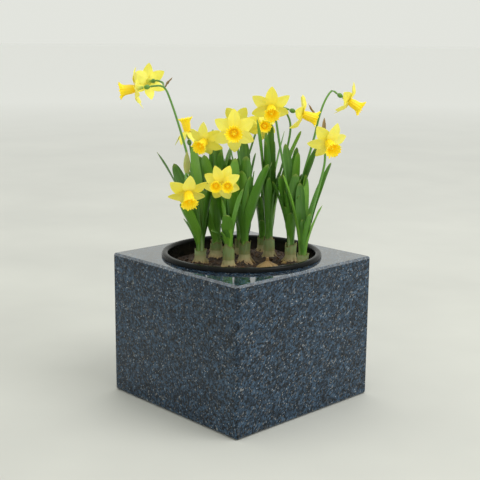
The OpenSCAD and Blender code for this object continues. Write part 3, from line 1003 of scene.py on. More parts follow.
def lay_stalk(rings):
    """The pattern stalk's points, laid along a CAD stalk."""
    centres = np.array([r.mean(0) for r in rings])
    radii = np.array([np.linalg.norm(r - r.mean(0), axis=1).mean() for r in rings])
    at = distances(centres)
    base = points_of(stalk_pattern)
    where = base[:, 2] * at[-1]
    centre, along = course(centres, at, where)
    side = unit(np.cross(along, [0.31, 0.95, 0.02]))
    other = np.cross(along, side)
    ribs = 1 + 0.05 * np.cos(5 * np.arctan2(base[:, 1], base[:, 0]))
    radius = (line_through(radii[:, None], at, where)[:, 0] * ribs * 1.08)[:, None]
    return centre + side * base[:, :1] * radius + other * base[:, 1:2] * radius


print("stalk pattern:", len(stalk_pattern.data.vertices), "points")

# %% [markdown]
# Behind each flower the stem swells into the ovary, a small green capsule. It is turned on the same
# helper, and three shallow furrows run down it. Its place, direction and size are measured on the
# CAD capsule's points.

# %% Pattern ovary
def capsule_frame(points):
    """Middle, long direction, half length and radius of a small round capsule."""
    middle_of = points.mean(0)
    spread = points - middle_of
    direction = np.linalg.svd(spread, full_matrices=False)[2][0]
    half = (spread @ direction).max()
    radius = np.linalg.norm(spread - np.outer(spread @ direction, direction), axis=1).max()
    return middle_of, direction, half, radius


capsule = turned("ovary_pattern", [
    (0.24, -1.0), (0.52, -0.82), (0.82, -0.5), (1.0, -0.1),
    (0.98, 0.25), (0.8, 0.62), (0.52, 0.88), (0.34, 1.0),
], 18)
wrap_uv(capsule, -1, 1)


def lay_capsule(points):
    """The ovary pattern's points, set on a CAD ovary, with three shallow furrows."""
    middle_of, direction, half, radius = capsule_frame(points)
    base = points_of(capsule)
    side = unit(np.cross(direction, [0.2, 0.3, 0.93]))
    other = np.cross(direction, side)
    furrows = 1 - 0.06 * np.cos(3 * np.arctan2(base[:, 1], base[:, 0])) ** 2
    return (
        middle_of + np.outer(base[:, 2] * half, direction)
        + np.outer(base[:, 0] * radius * furrows, side)
        + np.outer(base[:, 1] * radius * furrows, other)
    )


print("ovary pattern:", len(capsule.data.vertices), "points")

# %% Stalks and ovaries
stem_corners = 8
stem_pieces, stalk_count = [], 0
for name in numbered("stems_"):
    chance = random.Random(name)
    stalks, ovaries = [], []
    for solid in solids_of(name):
        members = members_of(solid)
        rings = rings_of(solid, stem_corners) if len(members) % stem_corners == 0 else []
        if rings and all(len(r) == stem_corners for r in rings):
            stalks.append(lay_stalk(rings))
        else:
            ovaries.append(lay_capsule(members))
    stalk_count += len(stalks)
    green_stalks = gathered(name + "_stalks", stalk_pattern, stalks, [chance.random() for _ in stalks])
    swellings = gathered(name + "_ovaries", capsule, ovaries, [chance.random() for _ in ovaries])
    join_to(green_stalks, [swellings])
    smooth(green_stalks, 50)
    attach(green_stalks, "planting")
    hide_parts(name)
    stem_pieces.append(green_stalks)
bpy.data.objects.remove(stalk_pattern)
bpy.data.objects.remove(capsule)
print("stems:", len(stem_pieces), "with", stalk_count, "stalks")

# %% [markdown]
# ## Stem finish
# A stem is a lighter, bluer green than a leaf, with fine ribs, and it fades to almost white where it
# leaves the bulb.

# %% Stem finish
stem_finish, tree, shader, given = plant_finish("stem", across=16.0, along=3.0, veins=10.0)
green = ramp(tree, given["tone"], [(0, (0.070, 0.230, 0.018)), (1, (0.130, 0.340, 0.035))])
green = wash(tree, green, given["streaks"], 0.5, (0.17, 0.33, 0.08))
blotches = place_effect(tree, clouds, given["place"], Per_Metre=80.0)["Value"]
green = wash(tree, green, blotches, 0.2, (0.14, 0.22, 0.13))
low_part = spread_value(tree, given["height"], 0.2, 0.0)
green = wash(tree, green, low_part, 0.8, (0.45, 0.53, 0.27))
wire(tree, green, shader.inputs["Base Color"])
gloss(tree, shader, given["streaks"], 0.34, 0.5)
let_light_in(shader, 0.12, 0.0012)
bump(tree, shader, given["lines"], 0.25, 0.0003)
for piece in stem_pieces:
    piece.data.materials.append(stem_finish)
print("stem finish on", len(stem_pieces), "pieces")

# %% [markdown]
# ## Petals
# A flower has six petals in two layers of three. Each is oval with a short point, a little hollow,
# with a soft midrib and a wavy edge. The pattern petal is the same kind of strip as the leaf's, with
# its rows resized to that outline.

# %% Pattern petal
def petal_share(v):
    """Width of a petal at a share of its length: a narrow claw, a full middle, a small point."""
    return max(0.012, math.sin(math.pi * (0.10 + 0.90 * v) ** 0.95)) ** 0.70 * (1 - 0.06 * v)


petal_pattern = pattern_strip("petal_pattern", 10, 20, petal_share)
print("petal pattern:", len(petal_pattern.data.vertices), "points")

# %% [markdown]
# The pattern is laid on each CAD petal, from near the flower's middle to the CAD petal's tip. A
# flower looks from its tube towards its trumpet, and its petals meet at the top of the tube. Each
# petal bends back, cups, ripples and twists a little by chance. The three in front stand a little
# higher at their roots, and the three behind are wider.

# %% Laying a petal
def flower_parts(index):
    """Where flower number index looks, where its petals meet, and its petals and cups."""
    solids = sorted((members_of(solid) for solid in solids_of(f"petals_{index}")), key=len)
    cups = [members_of(solid) for solid in solids_of(f"trumpet_{index}")]
    tube, petals = solids[-1], solids[:-1]
    way = unit(np.mean([c.mean(0) for c in cups], axis=0) - tube.mean(0))
    axis_point = np.mean([p.mean(0) for p in petals], axis=0)
    top = (tube @ way).max()
    meet = axis_point + way * (top - axis_point @ way)
    return way, meet, petals, cups


def lay_petal(points, way, meet, layer, chance):
    """The petal pattern's points, laid on one CAD petal."""
    offsets = points - meet
    flat = offsets - np.outer(offsets @ way, way)
    far = np.linalg.norm(flat, axis=1)
    tip = points[far > far.max() - 0.3 * MM].mean(0)
    root = points[far < far.min() + 0.3 * MM].mean(0)
    run = unit(tip - root)
    side = unit(np.cross(way, run))
    normal = np.cross(run, side)
    if normal @ way < 0:
        normal = -normal
    half = np.abs((points - root) @ side).max()
    root = root - run * (np.linalg.norm(root - meet) - 2.2 * MM) * 0.8
    length = np.linalg.norm(tip - root)
    base = points_of(petal_pattern)
    x, v, z = base[:, 0], base[:, 1], base[:, 2]
    wide = 2.0 * half * (1.20 if layer else 1.10) * chance.uniform(0.92, 1.08)
    edge = np.abs(2 * x)
    arch = -chance.uniform(0.05, 0.14) * length * v**2 + 0.05 * length * np.sin(math.pi * v)
    cup = chance.uniform(0.03, 0.10) * wide * edge**2
    crease = 0.5 * MM * np.exp(-((x / 0.05) ** 2)) * np.sin(math.pi * np.clip(v, 0, 1))
    waves = v * chance.uniform(9, 15) + 2.6 * np.sign(x) + chance.uniform(0, 6)
    ripple = 0.55 * MM * edge**2 * np.sin(waves)
    twist = chance.uniform(-0.22, 0.22) * v * x * wide
    lean = chance.uniform(-0.04, 0.04) * length * v**2
    lift = 0.9 * MM if not layer else 0.2 * MM
    height = arch + cup - crease + ripple + twist + lift * (1 - v) + z * 0.38 * MM
    return root + np.outer(v * length, run) + np.outer(x * wide + lean, side) + np.outer(height, normal)


def set_on(base, way, meet, across=None):
    """Points drawn round the upright axis, turned to look along way and set at meet."""
    side = unit(np.cross(way, [0.12, 0.21, 0.97])) if across is None else across
    other = np.cross(way, side)
    return meet + base @ np.array([side, other, way])


print("petal helpers ready")

# %% [markdown]
# The tube behind the petals and the hub they grow from are one turned piece. With it, each flower
# becomes one object.

# %% Flowers
tube_pattern = turned("tube_pattern", in_mm(
    (1.3, -10.4), (1.9, -9.6), (2.1, -7.5), (2.6, -5.0), (3.5, -3.0),
    (4.4, -1.9), (4.5, -1.0), (3.8, -0.2), (1.0, 0.0),
), 24)
wrap_uv(tube_pattern)
flower_count = sum(n.startswith("petals_") for n in nodes)
flowers = {}
for index in range(1, flower_count + 1):
    chance = random.Random(900 + index)
    way, meet, petals, cups = flower_parts(index)
    layers = np.array([p.mean(0) @ way for p in petals])
    behind = layers < layers.mean() - 0.2 * MM
    laid = [lay_petal(p, way, meet, bool(b), chance) for p, b in zip(petals, behind)]
    star = gathered(f"petals_{index}_star", petal_pattern, laid, [chance.random() for _ in laid])
    tube_points = set_on(points_of(tube_pattern), way, meet)
    hub = gathered(f"petals_{index}_tube", tube_pattern, [tube_points], [-1.0])
    join_to(star, [hub])
    smooth(star, 50)
    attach(star, "planting")
    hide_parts(f"petals_{index}")
    flowers[index] = (star, way, meet, cups)
bpy.data.objects.remove(petal_pattern)
bpy.data.objects.remove(tube_pattern)
print("flowers:", len(flowers))

# %% [markdown]
# ## Petal finish
# Petals are thin enough for light to glow through them, so their finish has some subsurface
# scattering, and a faint lemon emission paints a glow over the petals and the tube alike. They are
# lemon yellow, paler to the edge, with fine veins fanning along them, and a tinge of green where
# they join the tube. The tube itself carries the tone -1, which the finish reads as green.

# %% Petal finish
petal_finish, tree, shader, given = plant_finish("petal", across=26.0, along=2.4, veins=9.0)
lemon = ramp(tree, given["tone"], [
    (0, (0.93, 0.80, 0.046)), (0.5, (0.96, 0.87, 0.085)), (1, (0.97, 0.90, 0.14)),
])
lemon = wash(tree, lemon, given["streaks"], 0.5, (0.98, 0.93, 0.25))
lemon = wash(tree, lemon, given["lines"], 0.13, (0.66, 0.50, 0.02))
claw = spread_value(tree, given["height"], 0.24, 0.0)
lemon = wash(tree, lemon, claw, 0.5, (0.72, 0.62, 0.03))
is_tube = sums(tree, "LESS_THAN", given["tone"], -0.5)
tube_green = ramp(tree, given["height"], [
    (0, (0.19, 0.33, 0.05)), (0.55, (0.50, 0.55, 0.08)), (1, (0.75, 0.62, 0.05)),
])
wire(tree, blend_colours(tree, is_tube, lemon, tube_green), shader.inputs["Base Color"])
gloss(tree, shader, given["streaks"], 0.42, 0.6)
let_light_in(shader, 0.3, 0.0015, (1.0, 0.8, 0.15))
bump(tree, shader, given["streaks"], 0.3, 0.0003)
# Painted glow: a faint emission in the petals' own lemon stands in for light shining through them.
shader.inputs["Emission Strength"].default_value = 0.07
wire(tree, lemon, shader.inputs["Emission Color"])
for star, _, _, _ in flowers.values():
    star.data.materials.append(petal_finish)
print("petal finish on", len(flowers), "flowers")

# %% [markdown]
# ## Trumpets
# The golden trumpet is a ribbed cup that flares to a frilled mouth. It is turned as a thin shell,
# then ribs and frills are pushed into its rings, and Solidify gives the wall its thickness. Inside
# stand the style with its knob and six stamens. The whole cup is modelled once at its full size and
# scaled to each CAD trumpet.

# %% Pattern trumpet
cup_l, cup_sides = 21 * MM, 96
trumpet_pattern = turned("trumpet_pattern", in_mm(
    (0.6, 0.0), (3.5, 0.05), (4.6, 1.6), (5.3, 4.0), (5.7, 6.5), (5.9, 9.0), (6.05, 11.5), (6.3, 13.8),
    (6.8, 15.6), (7.5, 17.2), (8.3, 18.6), (9.1, 19.7), (9.9, 20.4), (10.4, 20.6),
), cup_sides, close=False)
wrap_uv(trumpet_pattern)
cup = points_of(trumpet_pattern)
angle = np.arctan2(cup[:, 1], cup[:, 0])
rise = cup[:, 2] / cup_l
ribs = 0.030 * np.clip(rise * 4, 0, 1) * np.cos(12 * angle) + 0.02 * np.cos(6 * angle) * rise
frill = np.clip((rise - 0.62) / 0.36, 0, 1) ** 1.5
ragged = 0.6 * np.sin(7 * angle + 0.8) + 0.4 * np.sin(11 * angle + 2.1)
push = 1 + ribs + frill * (0.10 * np.cos(18 * angle + 0.9 * np.sin(3 * angle)) + 0.04 * ragged)
lift = frill * (0.9 * np.sin(18 * angle + 1.1 * np.sin(2 * angle)) + 0.7 * ragged) * MM
cup[:, :2] *= push[:, None]
cup[:, 2] += lift
move_points(trumpet_pattern, cup)
print("trumpet:", len(trumpet_pattern.data.polygons), "faces")

# %% [markdown]
# The cup needs a bottom but no lid. Both ends are filled, and the lid is found by its many corners
# and its height and is deleted again. Solidify then gives the wall its thickness.

# %% Trumpet wall
only(trumpet_pattern)
bpy.ops.object.mode_set(mode="EDIT")
bpy.ops.mesh.select_all(action="SELECT")
bpy.ops.mesh.fill_holes(sides=cup_sides)
bpy.ops.mesh.select_all(action="DESELECT")
bpy.ops.object.mode_set(mode="OBJECT")
for face in trumpet_pattern.data.polygons:
    face.select = len(face.vertices) > 4 and face.center.z > 0.5 * cup_l
bpy.ops.object.mode_set(mode="EDIT")
bpy.ops.mesh.select_mode(type="FACE")
bpy.ops.mesh.delete(type="ONLY_FACE")
bpy.ops.mesh.select_mode(type="VERT")
bpy.ops.mesh.select_all(action="SELECT")
bpy.ops.mesh.normals_make_consistent(inside=False)
bpy.ops.object.mode_set(mode="OBJECT")
thicken = trumpet_pattern.modifiers.new("wall", "SOLIDIFY")
thicken.thickness = 0.45 * MM
thicken.offset = -1.0
finish_modifiers(trumpet_pattern)
print("trumpet with its wall:", len(trumpet_pattern.data.polygons), "faces")

# %% Style and stamens
style = turned("style", in_mm(
    (0.7, 0.6), (0.6, 6), (0.55, 12), (0.8, 14.2), (1.5, 15.2), (1.7, 15.9), (1.3, 16.6), (0.5, 16.8),
), 14)
wrap_uv(style, -20 * MM, 18 * MM)
inner = [style]
stamen_count, stamen_ring_r = 6, 2.5 * MM
for k in range(stamen_count):
    turn = 2 * math.pi / stamen_count * k + 0.4
    stamen = turned(f"stamen_{k}", in_mm(
        (0.3, 0.6), (0.3, 7.5), (0.9, 8.2), (1.05, 10), (0.95, 12), (0.4, 12.9),
    ), 10)
    wrap_uv(stamen, -20 * MM, 14 * MM)
    stamen.location = (stamen_ring_r * math.cos(turn), stamen_ring_r * math.sin(turn), 0)
    inner.append(settle(stamen))
join_to(trumpet_pattern, inner)
print("trumpet with style and stamens:", len(trumpet_pattern.data.vertices), "points")

# %% Set the trumpets
trumpets = []
for index, (_, way, meet, cups) in flowers.items():
    laid = []
    for points in cups:
        heights = (points - meet) @ way
        size = (heights.max() - heights.min()) / cup_l
        cup_middle = points.mean(0)
        foot = cup_middle + way * (heights.min() - (cup_middle - meet) @ way - 0.25 * MM)
        across = Vector(unit(np.cross(way, [0.12, 0.21, 0.97])))
        spin = Quaternion(Vector(way), 1.3 * index) @ across
        laid.append(set_on(points_of(trumpet_pattern) * size, way, foot, np.array(spin)))
    tones = [random.Random(index).random()] * len(laid)
    golden = gathered(f"trumpet_{index}_cup", trumpet_pattern, laid, tones)
    smooth(golden, 60)
    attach(golden, "planting")
    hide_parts(f"trumpet_{index}")
    trumpets.append(golden)
bpy.data.objects.remove(trumpet_pattern)
print("trumpets:", len(trumpets))

# %% [markdown]
# ## Trumpet finish
# The cup is a deep golden yellow, deeper at its foot and lighter at its frill. Light bounces about
# inside it, so it seems to glow. A little emission of its own colour stands in for that.

# %% Trumpet finish
trumpet_finish, tree, shader, given = plant_finish("trumpet", across=40.0, along=1.5, veins=24.0)
gold = ramp(tree, given["height"], [
    (0, (0.86, 0.60, 0.010)), (0.5, (0.94, 0.68, 0.008)),
    (0.85, (1.0, 0.75, 0.012)), (1, (1.0, 0.80, 0.020)),
])
gold = wash(tree, gold, given["streaks"], 0.35, (1.0, 0.74, 0.02))
gold = wash(tree, gold, given["lines"], 0.14, (0.80, 0.48, 0.004))
gold = wash(tree, gold, given["tone"], 0.25, (1.0, 0.82, 0.03))
wire(tree, gold, shader.inputs["Base Color"])
gloss(tree, shader, given["streaks"], 0.4, 0.58)
let_light_in(shader, 0.3, 0.0015, (1.0, 0.6, 0.1))
bump(tree, shader, given["lines"], 0.3, 0.0003)
wire(tree, gold, shader.inputs["Emission Color"])
shader.inputs["Emission Strength"].default_value = 0.16
for golden in trumpets:
    golden.data.materials.append(trumpet_finish)
print("trumpet finish on", len(trumpets), "cups")

# %% [markdown]
# ## Bulbs
# The bulbs sit half out of the soil. A bulb is an onion shape in a dry, golden-brown papery skin
# that splits lengthwise and peels, with the stump of its neck on top. The pattern bulb is turned,
# its ribs are pushed in, and three loose flakes of skin are made by copying patches of its own
# surface a little further out. Each bulb is a copy scaled to its CAD solid and turned by chance.

# %% Pattern bulb
bulb_pattern = turned("bulb_pattern", [
    (0.06, -1.0), (0.34, -0.97), (0.62, -0.82), (0.84, -0.58), (0.96, -0.3), (1.0, 0.0),
    (0.97, 0.2), (0.90, 0.4), (0.80, 0.57), (0.69, 0.7), (0.58, 0.82), (0.50, 0.94),
    (0.455, 1.06), (0.435, 1.2), (0.42, 1.32), (0.30, 1.345), (0.08, 1.35),
], 56)
skin = points_of(bulb_pattern)
angle, rise = np.arctan2(skin[:, 1], skin[:, 0]), skin[:, 2]
folds = 0.020 * np.cos(9 * angle + 0.6) + 0.012 * np.cos(23 * angle)
folds += 0.010 * np.cos(41 * angle + rise * 2)
bulge = 0.035 * np.cos(2 * angle + 0.5) + 0.02 * np.cos(3 * angle + 1)
skin[:, :2] *= (1 + folds + bulge * np.clip(1 - rise, 0, 1))[:, None]
move_points(bulb_pattern, skin)
wrap_uv(bulb_pattern)
print("bulb pattern:", len(bulb_pattern.data.polygons), "faces")

# %% [markdown]
# A flake is cut from a copy of the bulb by deleting all the faces outside its patch. It is named by
# its lowest and highest point and by the angle where it starts and how far round it goes. Its sides
# curl away from the bulb, and its edge is ragged.

# %% Loose flakes
flakes = []
patches = ((-0.1, 0.86, 0.3, 1.3), (0.1, 1.0, 2.5, 0.9), (0.0, 0.75, 4.4, 1.2))
for k, (low, high, start, width) in enumerate(patches):
    only(bulb_pattern)
    bpy.ops.object.duplicate()
    flake = named(f"skin_flake_{k}")
    bpy.ops.object.mode_set(mode="EDIT")
    bpy.ops.mesh.select_mode(type="FACE")
    bpy.ops.mesh.select_all(action="DESELECT")
    bpy.ops.object.mode_set(mode="OBJECT")
    for face in flake.data.polygons:
        around = (math.atan2(face.center.y, face.center.x) - start) % (2 * math.pi)
        ragged = 0.16 * math.sin(9 * around + k) + 0.08 * math.sin(23 * around)
        face.select = not (around < width and low + ragged < face.center.z < high + ragged)
    bpy.ops.object.mode_set(mode="EDIT")
    bpy.ops.mesh.delete(type="FACE")
    bpy.ops.mesh.select_all(action="SELECT")
    bpy.ops.transform.resize(value=(1.05, 1.05, 1.0), center_override=(0, 0, 0))
    bpy.ops.object.mode_set(mode="OBJECT")
    points = points_of(flake)
    around = (np.arctan2(points[:, 1], points[:, 0]) - start + 1) % (2 * math.pi) - 1
    from_middle = np.clip(np.abs(around - width / 2) / (width / 2), 0, 1.3)
    curl = 0.07 * from_middle**3 + 0.05 * np.clip(points[:, 2] - high + 0.3, 0, 1)
    points[:, :2] *= (1 + curl)[:, None]
    move_points(flake, points)
    paper = flake.modifiers.new("paper", "SOLIDIFY")
    paper.thickness = 0.018
    paper.offset = 1.0
    finish_modifiers(flake)
    flakes.append(flake)
bpy.context.tool_settings.mesh_select_mode = (True, False, False)
join_to(bulb_pattern, flakes)
print("bulb pattern with", len(flakes), "flakes:", len(bulb_pattern.data.polygons), "faces")

# %% [markdown]
# The pattern's neck is narrowed to the tuft that stands in it. On the one bulb that has no tuft it
# is narrowed to a dry point instead, and that bulb's tone says so to the finish.

# %% Plant the bulbs
pattern_tall = 2.35
bulbs = []
for name in bulb_names:
    chance = random.Random(name)
    laid, tones = [], []
    for points in [p for n, p in bulb_solids if n == name]:
        low, high = points.min(0), points.max(0)
        radius = (high[0] - low[0]) / 2
        base = points_of(bulb_pattern)
        spin = chance.uniform(0, 6.28)
        c, s = math.cos(spin), math.sin(spin)
        x, y = base[:, 0] * c - base[:, 1] * s, base[:, 0] * s + base[:, 1] * c
        z = (base[:, 2] + 1) / pattern_tall * (high[2] - low[2]) + low[2]
        neck = np.clip((base[:, 2] - 0.75) / 0.3, 0, 1)
        middle_of = (low + high) / 2
        is_bare = np.abs(middle_of - bulb_middles[bare]).max() < 1e-6
        narrow = 1 + neck * (-0.72 if is_bare else 7.6 * MM / (0.43 * radius) - 1)
        reach = radius * narrow
        laid.append(np.column_stack([middle_of[0] + x * reach, middle_of[1] + y * reach, z]))
        tones.append(-1.0 if is_bare else chance.random())
    bulb = gathered(name + "_skin", bulb_pattern, laid, tones)
    smooth(bulb, 45)
    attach(bulb, "planting")
    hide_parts(name)
    bulbs.append(bulb)
bpy.data.objects.remove(bulb_pattern)
print("bulbs planted:", len(bulbs))

# %% [markdown]
# ## Bulb skin finish
# The skin is golden brown with fine lengthwise fibres and dark stains from the soil. The neck of a
# bulb with a tuft is greenish, but the dry bulb stays brown to its point.

# %% Bulb skin finish
skin_finish, tree, shader, given = plant_finish("bulb_skin", across=70.0, along=2.2, veins=34.0)
stains = place_effect(tree, clouds, given["place"], Per_Metre=110.0, Detail=6.0)["Value"]
brown = ramp(tree, given["streaks"], [
    (0, (0.085, 0.040, 0.014)), (0.4, (0.26, 0.145, 0.050)),
    (0.75, (0.46, 0.30, 0.125)), (1, (0.62, 0.46, 0.24)),
])
brown = wash(tree, brown, stains, 0.55, (0.13, 0.060, 0.024))
brown = wash(tree, brown, sums(tree, "ABSOLUTE", given["tone"]), 0.35, (0.58, 0.40, 0.17))
has_tuft = sums(tree, "GREATER_THAN", given["tone"], -0.5)
neck_part = spread_value(tree, given["height"], 0.74, 0.90)
neck_part = sums(tree, "MULTIPLY", neck_part, has_tuft)
brown = wash(tree, brown, neck_part, 0.7, (0.46, 0.48, 0.24))
wire(tree, brown, shader.inputs["Base Color"])
gloss(tree, shader, stains, 0.34, 0.68)
bump(tree, shader, given["streaks"], 0.5, 0.0005)
for bulb in bulbs:
    bulb.data.materials.append(skin_finish)
print("skin finish on", len(bulbs), "bulbs")

# %% [markdown]
# ## Sheaths
# A thin, pale membrane wraps the foot of each tuft of leaves and ends in a torn edge. Each is a
# turned tube, thickened by Solidify, and each has its own height. Its top edge is pulled up and down
# by chance, its wall is crumpled a little, and one side leans open.

# %% Sheaths
sheath_pattern = turned("sheath_pattern", [(1.0, k / 10) for k in range(11)], 40, close=False)
wrap_uv(sheath_pattern, 0, 1)
paper = sheath_pattern.modifiers.new("membrane", "SOLIDIFY")
paper.thickness = 0.055
paper.offset = 1.0
finish_modifiers(sheath_pattern)
laid, tones = [], []
for number, solid in enumerate(solids_of("sheaths")):
    chance = random.Random(300 + number)
    points = members_of(solid)
    low, high = points.min(0), points.max(0)
    middle_of, radius, tall = (low + high) / 2, (high[0] - low[0]) / 2, high[2] - low[2]
    base = points_of(sheath_pattern)
    angle, rise = np.arctan2(base[:, 1], base[:, 0]), base[:, 2]
    a, b = chance.uniform(0, 6), chance.uniform(0, 6)
    height_share = chance.uniform(0.42, 0.82)
    teeth = 0.16 * np.sin(2 * angle + a) + 0.09 * np.sin(5 * angle + b) + 0.05 * np.sin(13 * angle + a)
    torn = 1 + rise**2 * teeth
    lean_open = rise**2 * 0.20 * np.clip(np.cos(angle - a), 0, 1)
    crumple = 0.022 * np.cos(7 * angle + b) + 0.016 * np.cos(16 * angle + a)
    pinch = 1.04 - 0.06 * rise + lean_open + crumple
    laid.append(np.column_stack([
        middle_of[0] + base[:, 0] * radius * pinch * 0.97,
        middle_of[1] + base[:, 1] * radius * pinch * 0.97,
        low[2] + rise * torn * tall * height_share - 0.6 * MM,
    ]))
    tones.append(chance.random())
sheaths = gathered("sheaths_membrane", sheath_pattern, laid, tones)
bpy.data.objects.remove(sheath_pattern)
smooth(sheaths, 50)
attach(sheaths, "planting")
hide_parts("sheaths")
print("sheaths:", len(laid))

# %% [markdown]
# ## Sheath finish
# A sheath is a pale green skin with fine veins, browner at its foot and dry along its torn edge.

# %% Sheath finish
sheath_finish, tree, shader, given = plant_finish("sheath_skin", across=60.0, along=1.4, veins=26.0)
pale = ramp(tree, given["tone"], [
    (0, (0.065, 0.095, 0.020)), (0.45, (0.13, 0.22, 0.045)), (1, (0.40, 0.50, 0.22)),
])
pale = wash(tree, pale, given["streaks"], 0.45, (0.42, 0.50, 0.27))
pale = wash(tree, pale, given["lines"], 0.25, (0.14, 0.20, 0.05))
foot_part = spread_value(tree, given["height"], 0.5, 0.0)
pale = wash(tree, pale, foot_part, 0.35, (0.40, 0.30, 0.12))
torn_part = spread_value(tree, given["height"], 0.82, 1.0)
pale = wash(tree, pale, torn_part, 0.7, (0.22, 0.15, 0.05))
wire(tree, pale, shader.inputs["Base Color"])
gloss(tree, shader, given["streaks"], 0.3, 0.5)
let_light_in(shader, 0.25, 0.0015)
bump(tree, shader, given["streaks"], 0.4, 0.0004)
sheaths.data.materials.append(sheath_finish)
print("sheath finish on", sheaths.name)

# %% [markdown]
# ## Bracts
# At the top of each stem is a papery bract, the dry wrapper that the bud came out of. Most are brown
# and curled; the widest one is still yellow-green. Each is a strip shaped to a long point, laid on
# its CAD blade from the end that touches the stem, hollowed and curled towards the tip.

# %% Bracts
def bract_share(v):
    """Width of a bract at a share of its length: broad low down, with a long point."""
    return max(0.03, math.sin(math.pi * (0.12 + 0.88 * v))) ** 0.8


bract_pattern = pattern_strip("bract_pattern", 6, 18, bract_share)
stalk_points = np.concatenate([points_of(p)[::7] for p in stem_pieces])
laid, tones = [], []
for number, solid in enumerate(solids_of("spathes")):
    chance = random.Random(500 + number)
    points = members_of(solid)
    middle_of = points.mean(0)
    axes = np.linalg.svd(points - middle_of, full_matrices=False)[2]
    run, side = axes[0], axes[1]
    reach = (points - middle_of) @ run
    ends = [middle_of + run * reach.min(), middle_of + run * reach.max()]
    near = [np.linalg.norm(stalk_points - e, axis=1).min() for e in ends]
    foot, tip = ends if near[0] < near[1] else ends[::-1]
    run, length = unit(tip - foot), np.linalg.norm(tip - foot)
    half = np.abs((points - middle_of) @ side).max()
    normal = np.cross(run, side)
    base = points_of(bract_pattern)
    x, v = base[:, 0], base[:, 1]
    hollow = 0.9 * half * (2 * x) ** 2 * (1 - 0.4 * v)
    curl = chance.uniform(-0.12, 0.16) * length * v**2
    crumple = 0.35 * MM * np.sin(v * 17 + x * 9 + chance.uniform(0, 6))
    laid.append(
        foot + np.outer(v * length, run) + np.outer(x * 2.2 * half, side)
        + np.outer(hollow + curl + crumple + base[:, 2] * 0.28 * MM, normal)
    )
    tones.append(1.0 if half > 3.8 * MM else 0.45 * chance.random())
bracts = gathered("spathes_bracts", bract_pattern, laid, tones)
bpy.data.objects.remove(bract_pattern)
smooth(bracts, 50)
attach(bracts, "planting")
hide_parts("spathes")
print("bracts:", len(laid))

# %% [markdown]
# ## Bract finish
# Old bracts are brown paper with darker veins. The fresh one has the highest tone and is green.

# %% Bract finish
bract_finish, tree, shader, given = plant_finish("bract_paper", across=22.0, along=2.0, veins=9.0)
dry = ramp(tree, given["tone"], [
    (0, (0.20, 0.115, 0.045)), (0.45, (0.40, 0.29, 0.14)), (1, (0.36, 0.46, 0.10)),
])
dry = wash(tree, dry, given["streaks"], 0.5, (0.52, 0.44, 0.24))
dry = wash(tree, dry, given["lines"], 0.2, (0.12, 0.08, 0.03))
wire(tree, dry, shader.inputs["Base Color"])
gloss(tree, shader, given["streaks"], 0.45, 0.7)
let_light_in(shader, 0.2, 0.001)
bump(tree, shader, given["streaks"], 0.4, 0.0003)
bracts.data.materials.append(bract_finish)
print("bract finish on", bracts.name)

# %% [markdown]
# ## Soil
# The pot is filled with dark, damp potting soil. The body of the soil is turned, from its foot up the
# pot's wall and in across the top in many rings. Noise then breaks the top into lumps and heaps it a
# little round the bulbs, but not round the bare one.

# %% Body of the soil
soil_low, soil_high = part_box("potting_soil")
soil_r, soil_foot, soil_top = soil_high.x, soil_low.z, soil_high.z
foot_r = wall_radius(soil_foot, wall + 0.4 * MM)
wall_steps = 6
across_the_foot = [(2 * MM, soil_foot), (foot_r, soil_foot)]
up_the_wall = [
    (foot_r + (soil_r - foot_r) * k / wall_steps, soil_foot + (soil_top - soil_foot) * k / wall_steps)
    for k in range(1, wall_steps)
]
across_the_top = [(r, soil_top) for r in np.linspace(soil_r, 1.5 * MM, 44)]
soil_body = turned("potting_soil_body", across_the_foot + up_the_wall + across_the_top, 150)
ground = points_of(soil_body)


def soil_height(x, y):
    """Height of the soil's surface: lumps everywhere, and low heaps against the bulbs."""
    lumps = 0
    for height, per_metre, layer in ((1.6, 70, 0.3), (1.1, 190, 4.1), (0.7, 420, 7.7)):
        lumps += height * noise.noise(Vector((x * per_metre, y * per_metre, layer)))
    near = min(math.hypot(x - b[0], y - b[1]) for k, b in enumerate(bulb_middles) if k != bare)
    clear = math.hypot(x - bulb_middles[bare][0], y - bulb_middles[bare][1])
    heap = 9.0 * math.exp(-((near / 0.027) ** 2)) * (1 - math.exp(-((clear / 0.026) ** 4)))
    return soil_top + (lumps + heap - 1.0) * MM


on_top = ground[:, 2] > soil_top - 0.1 * MM
for i in np.nonzero(on_top)[0]:
    x, y = ground[i][:2]
    edge = min(1, (soil_r - math.hypot(x, y)) / (4 * MM) + 0.15)
    ground[i][2] = soil_top + (soil_height(x, y) - soil_top) * edge
move_points(soil_body, ground)
print("soil body:", len(soil_body.data.polygons), "faces")

# %% [markdown]
# Loose crumbs and flat bark chips are scattered over the soil: four shapes, each modelled once from
# an ico sphere, and copied with their own size and turn.

# %% Crumbs and chips
def crumb_shape(name, seed, flat):
    """One crumb: an ico sphere with its points shaken, flattened to a chip if flat is small."""
    bpy.ops.object.select_all(action="DESELECT")
    bpy.ops.mesh.primitive_ico_sphere_add(subdivisions=2, radius=1.0)
    crumb = named(name)
    bpy.ops.object.mode_set(mode="EDIT")
    bpy.ops.mesh.select_all(action="SELECT")
    bpy.ops.transform.vertex_random(offset=0.34, uniform=0.6, seed=seed)
    bpy.ops.transform.resize(value=(1.0, 0.62 + 0.3 * flat, flat), center_override=(0, 0, 0))
    bpy.ops.object.mode_set(mode="OBJECT")
    wrap_uv(crumb)
    return settle(crumb)


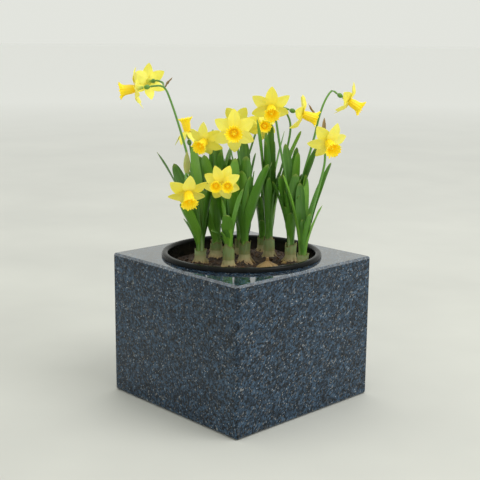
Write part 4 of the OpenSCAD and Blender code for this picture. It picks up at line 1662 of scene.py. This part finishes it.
crumb_kinds = (  # flatness, how many, smallest and largest size in mm
    (0.8, 260, 0.6, 2.1), (0.7, 200, 0.5, 1.7), (0.28, 120, 1.2, 3.6), (0.2, 70, 1.6, 4.6),
)
crumbs = []
for number, (flat, count, smallest, largest) in enumerate(crumb_kinds):
    shape = crumb_shape(f"crumb_shape_{number}", 20 + number, flat)
    chance = random.Random(700 + number)
    laid, tones = [], []
    for _ in range(count):
        distance = (soil_r - 4 * MM) * math.sqrt(chance.random())
        around = chance.uniform(0, 2 * math.pi)
        x, y = distance * math.cos(around), distance * math.sin(around)
        size = chance.uniform(smallest, largest) * MM
        lean = Vector((chance.gauss(0, 0.35), chance.gauss(0, 0.35), 1)).normalized()
        turn = np.array(Quaternion(lean, chance.uniform(0, 6.3)).to_matrix())
        at = np.array([x, y, soil_height(x, y) + 0.25 * size])
        laid.append(points_of(shape) @ turn.T * size + at)
        tones.append(chance.random())
    crumbs.append(gathered(f"crumbs_{number}", shape, laid, tones))
    bpy.data.objects.remove(shape)
join_to(soil_body, crumbs)
smooth(soil_body, 35)
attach(soil_body, "planting")
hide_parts("potting_soil")
print("soil with crumbs:", len(soil_body.data.polygons), "faces")

# %% [markdown]
# ## Soil finish
# Damp soil is nearly black. Small bits in four browns stand for fibre and bark, and the crumbs with
# the highest tones are the lightest.

# %% Soil finish
soil_finish, tree, shader = new_finish("soil")
place = node(tree, "ShaderNodeTexCoord").outputs["Object"]
small = place_effect(tree, grains, place, Per_Metre=900.0)
lumps = place_effect(tree, clouds, place, Per_Metre=160.0, Detail=8.0)["Value"]
tone = node(tree, "ShaderNodeAttribute", attribute_name="tone").outputs["Fac"]
earth = ramp(tree, lumps, [
    (0, (0.012, 0.008, 0.005)), (0.5, (0.035, 0.020, 0.012)), (1, (0.085, 0.048, 0.026)),
])
bits = ramp(tree, small["Value"], [
    (0, (0.020, 0.012, 0.008)), (0.55, (0.060, 0.032, 0.018)),
    (0.85, (0.17, 0.095, 0.045)), (0.96, (0.34, 0.24, 0.14)),
], smooth=False)
earth = blend_colours(tree, 0.4, earth, bits)
light_crumbs = spread_value(tree, tone, 0.45, 1.0)
earth = wash(tree, earth, light_crumbs, 0.55, (0.20, 0.095, 0.042))
wire(tree, earth, shader.inputs["Base Color"])
gloss(tree, shader, lumps, 0.6, 0.92)
bump(tree, shader, small["Depth"], 0.6, 0.0008)
soil_body.data.materials.append(soil_finish)
print("soil finish on", soil_body.name)

# %% Measure and finish
bpy.ops.object.select_all(action="DESELECT")
low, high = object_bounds()
below = [round((cad - now) * 1000, 1) for cad, now in zip(cad_low, low)]
above = [round((now - cad) * 1000, 1) for cad, now in zip(cad_high, high)]
print("grows by", below, "and", above, "mm")
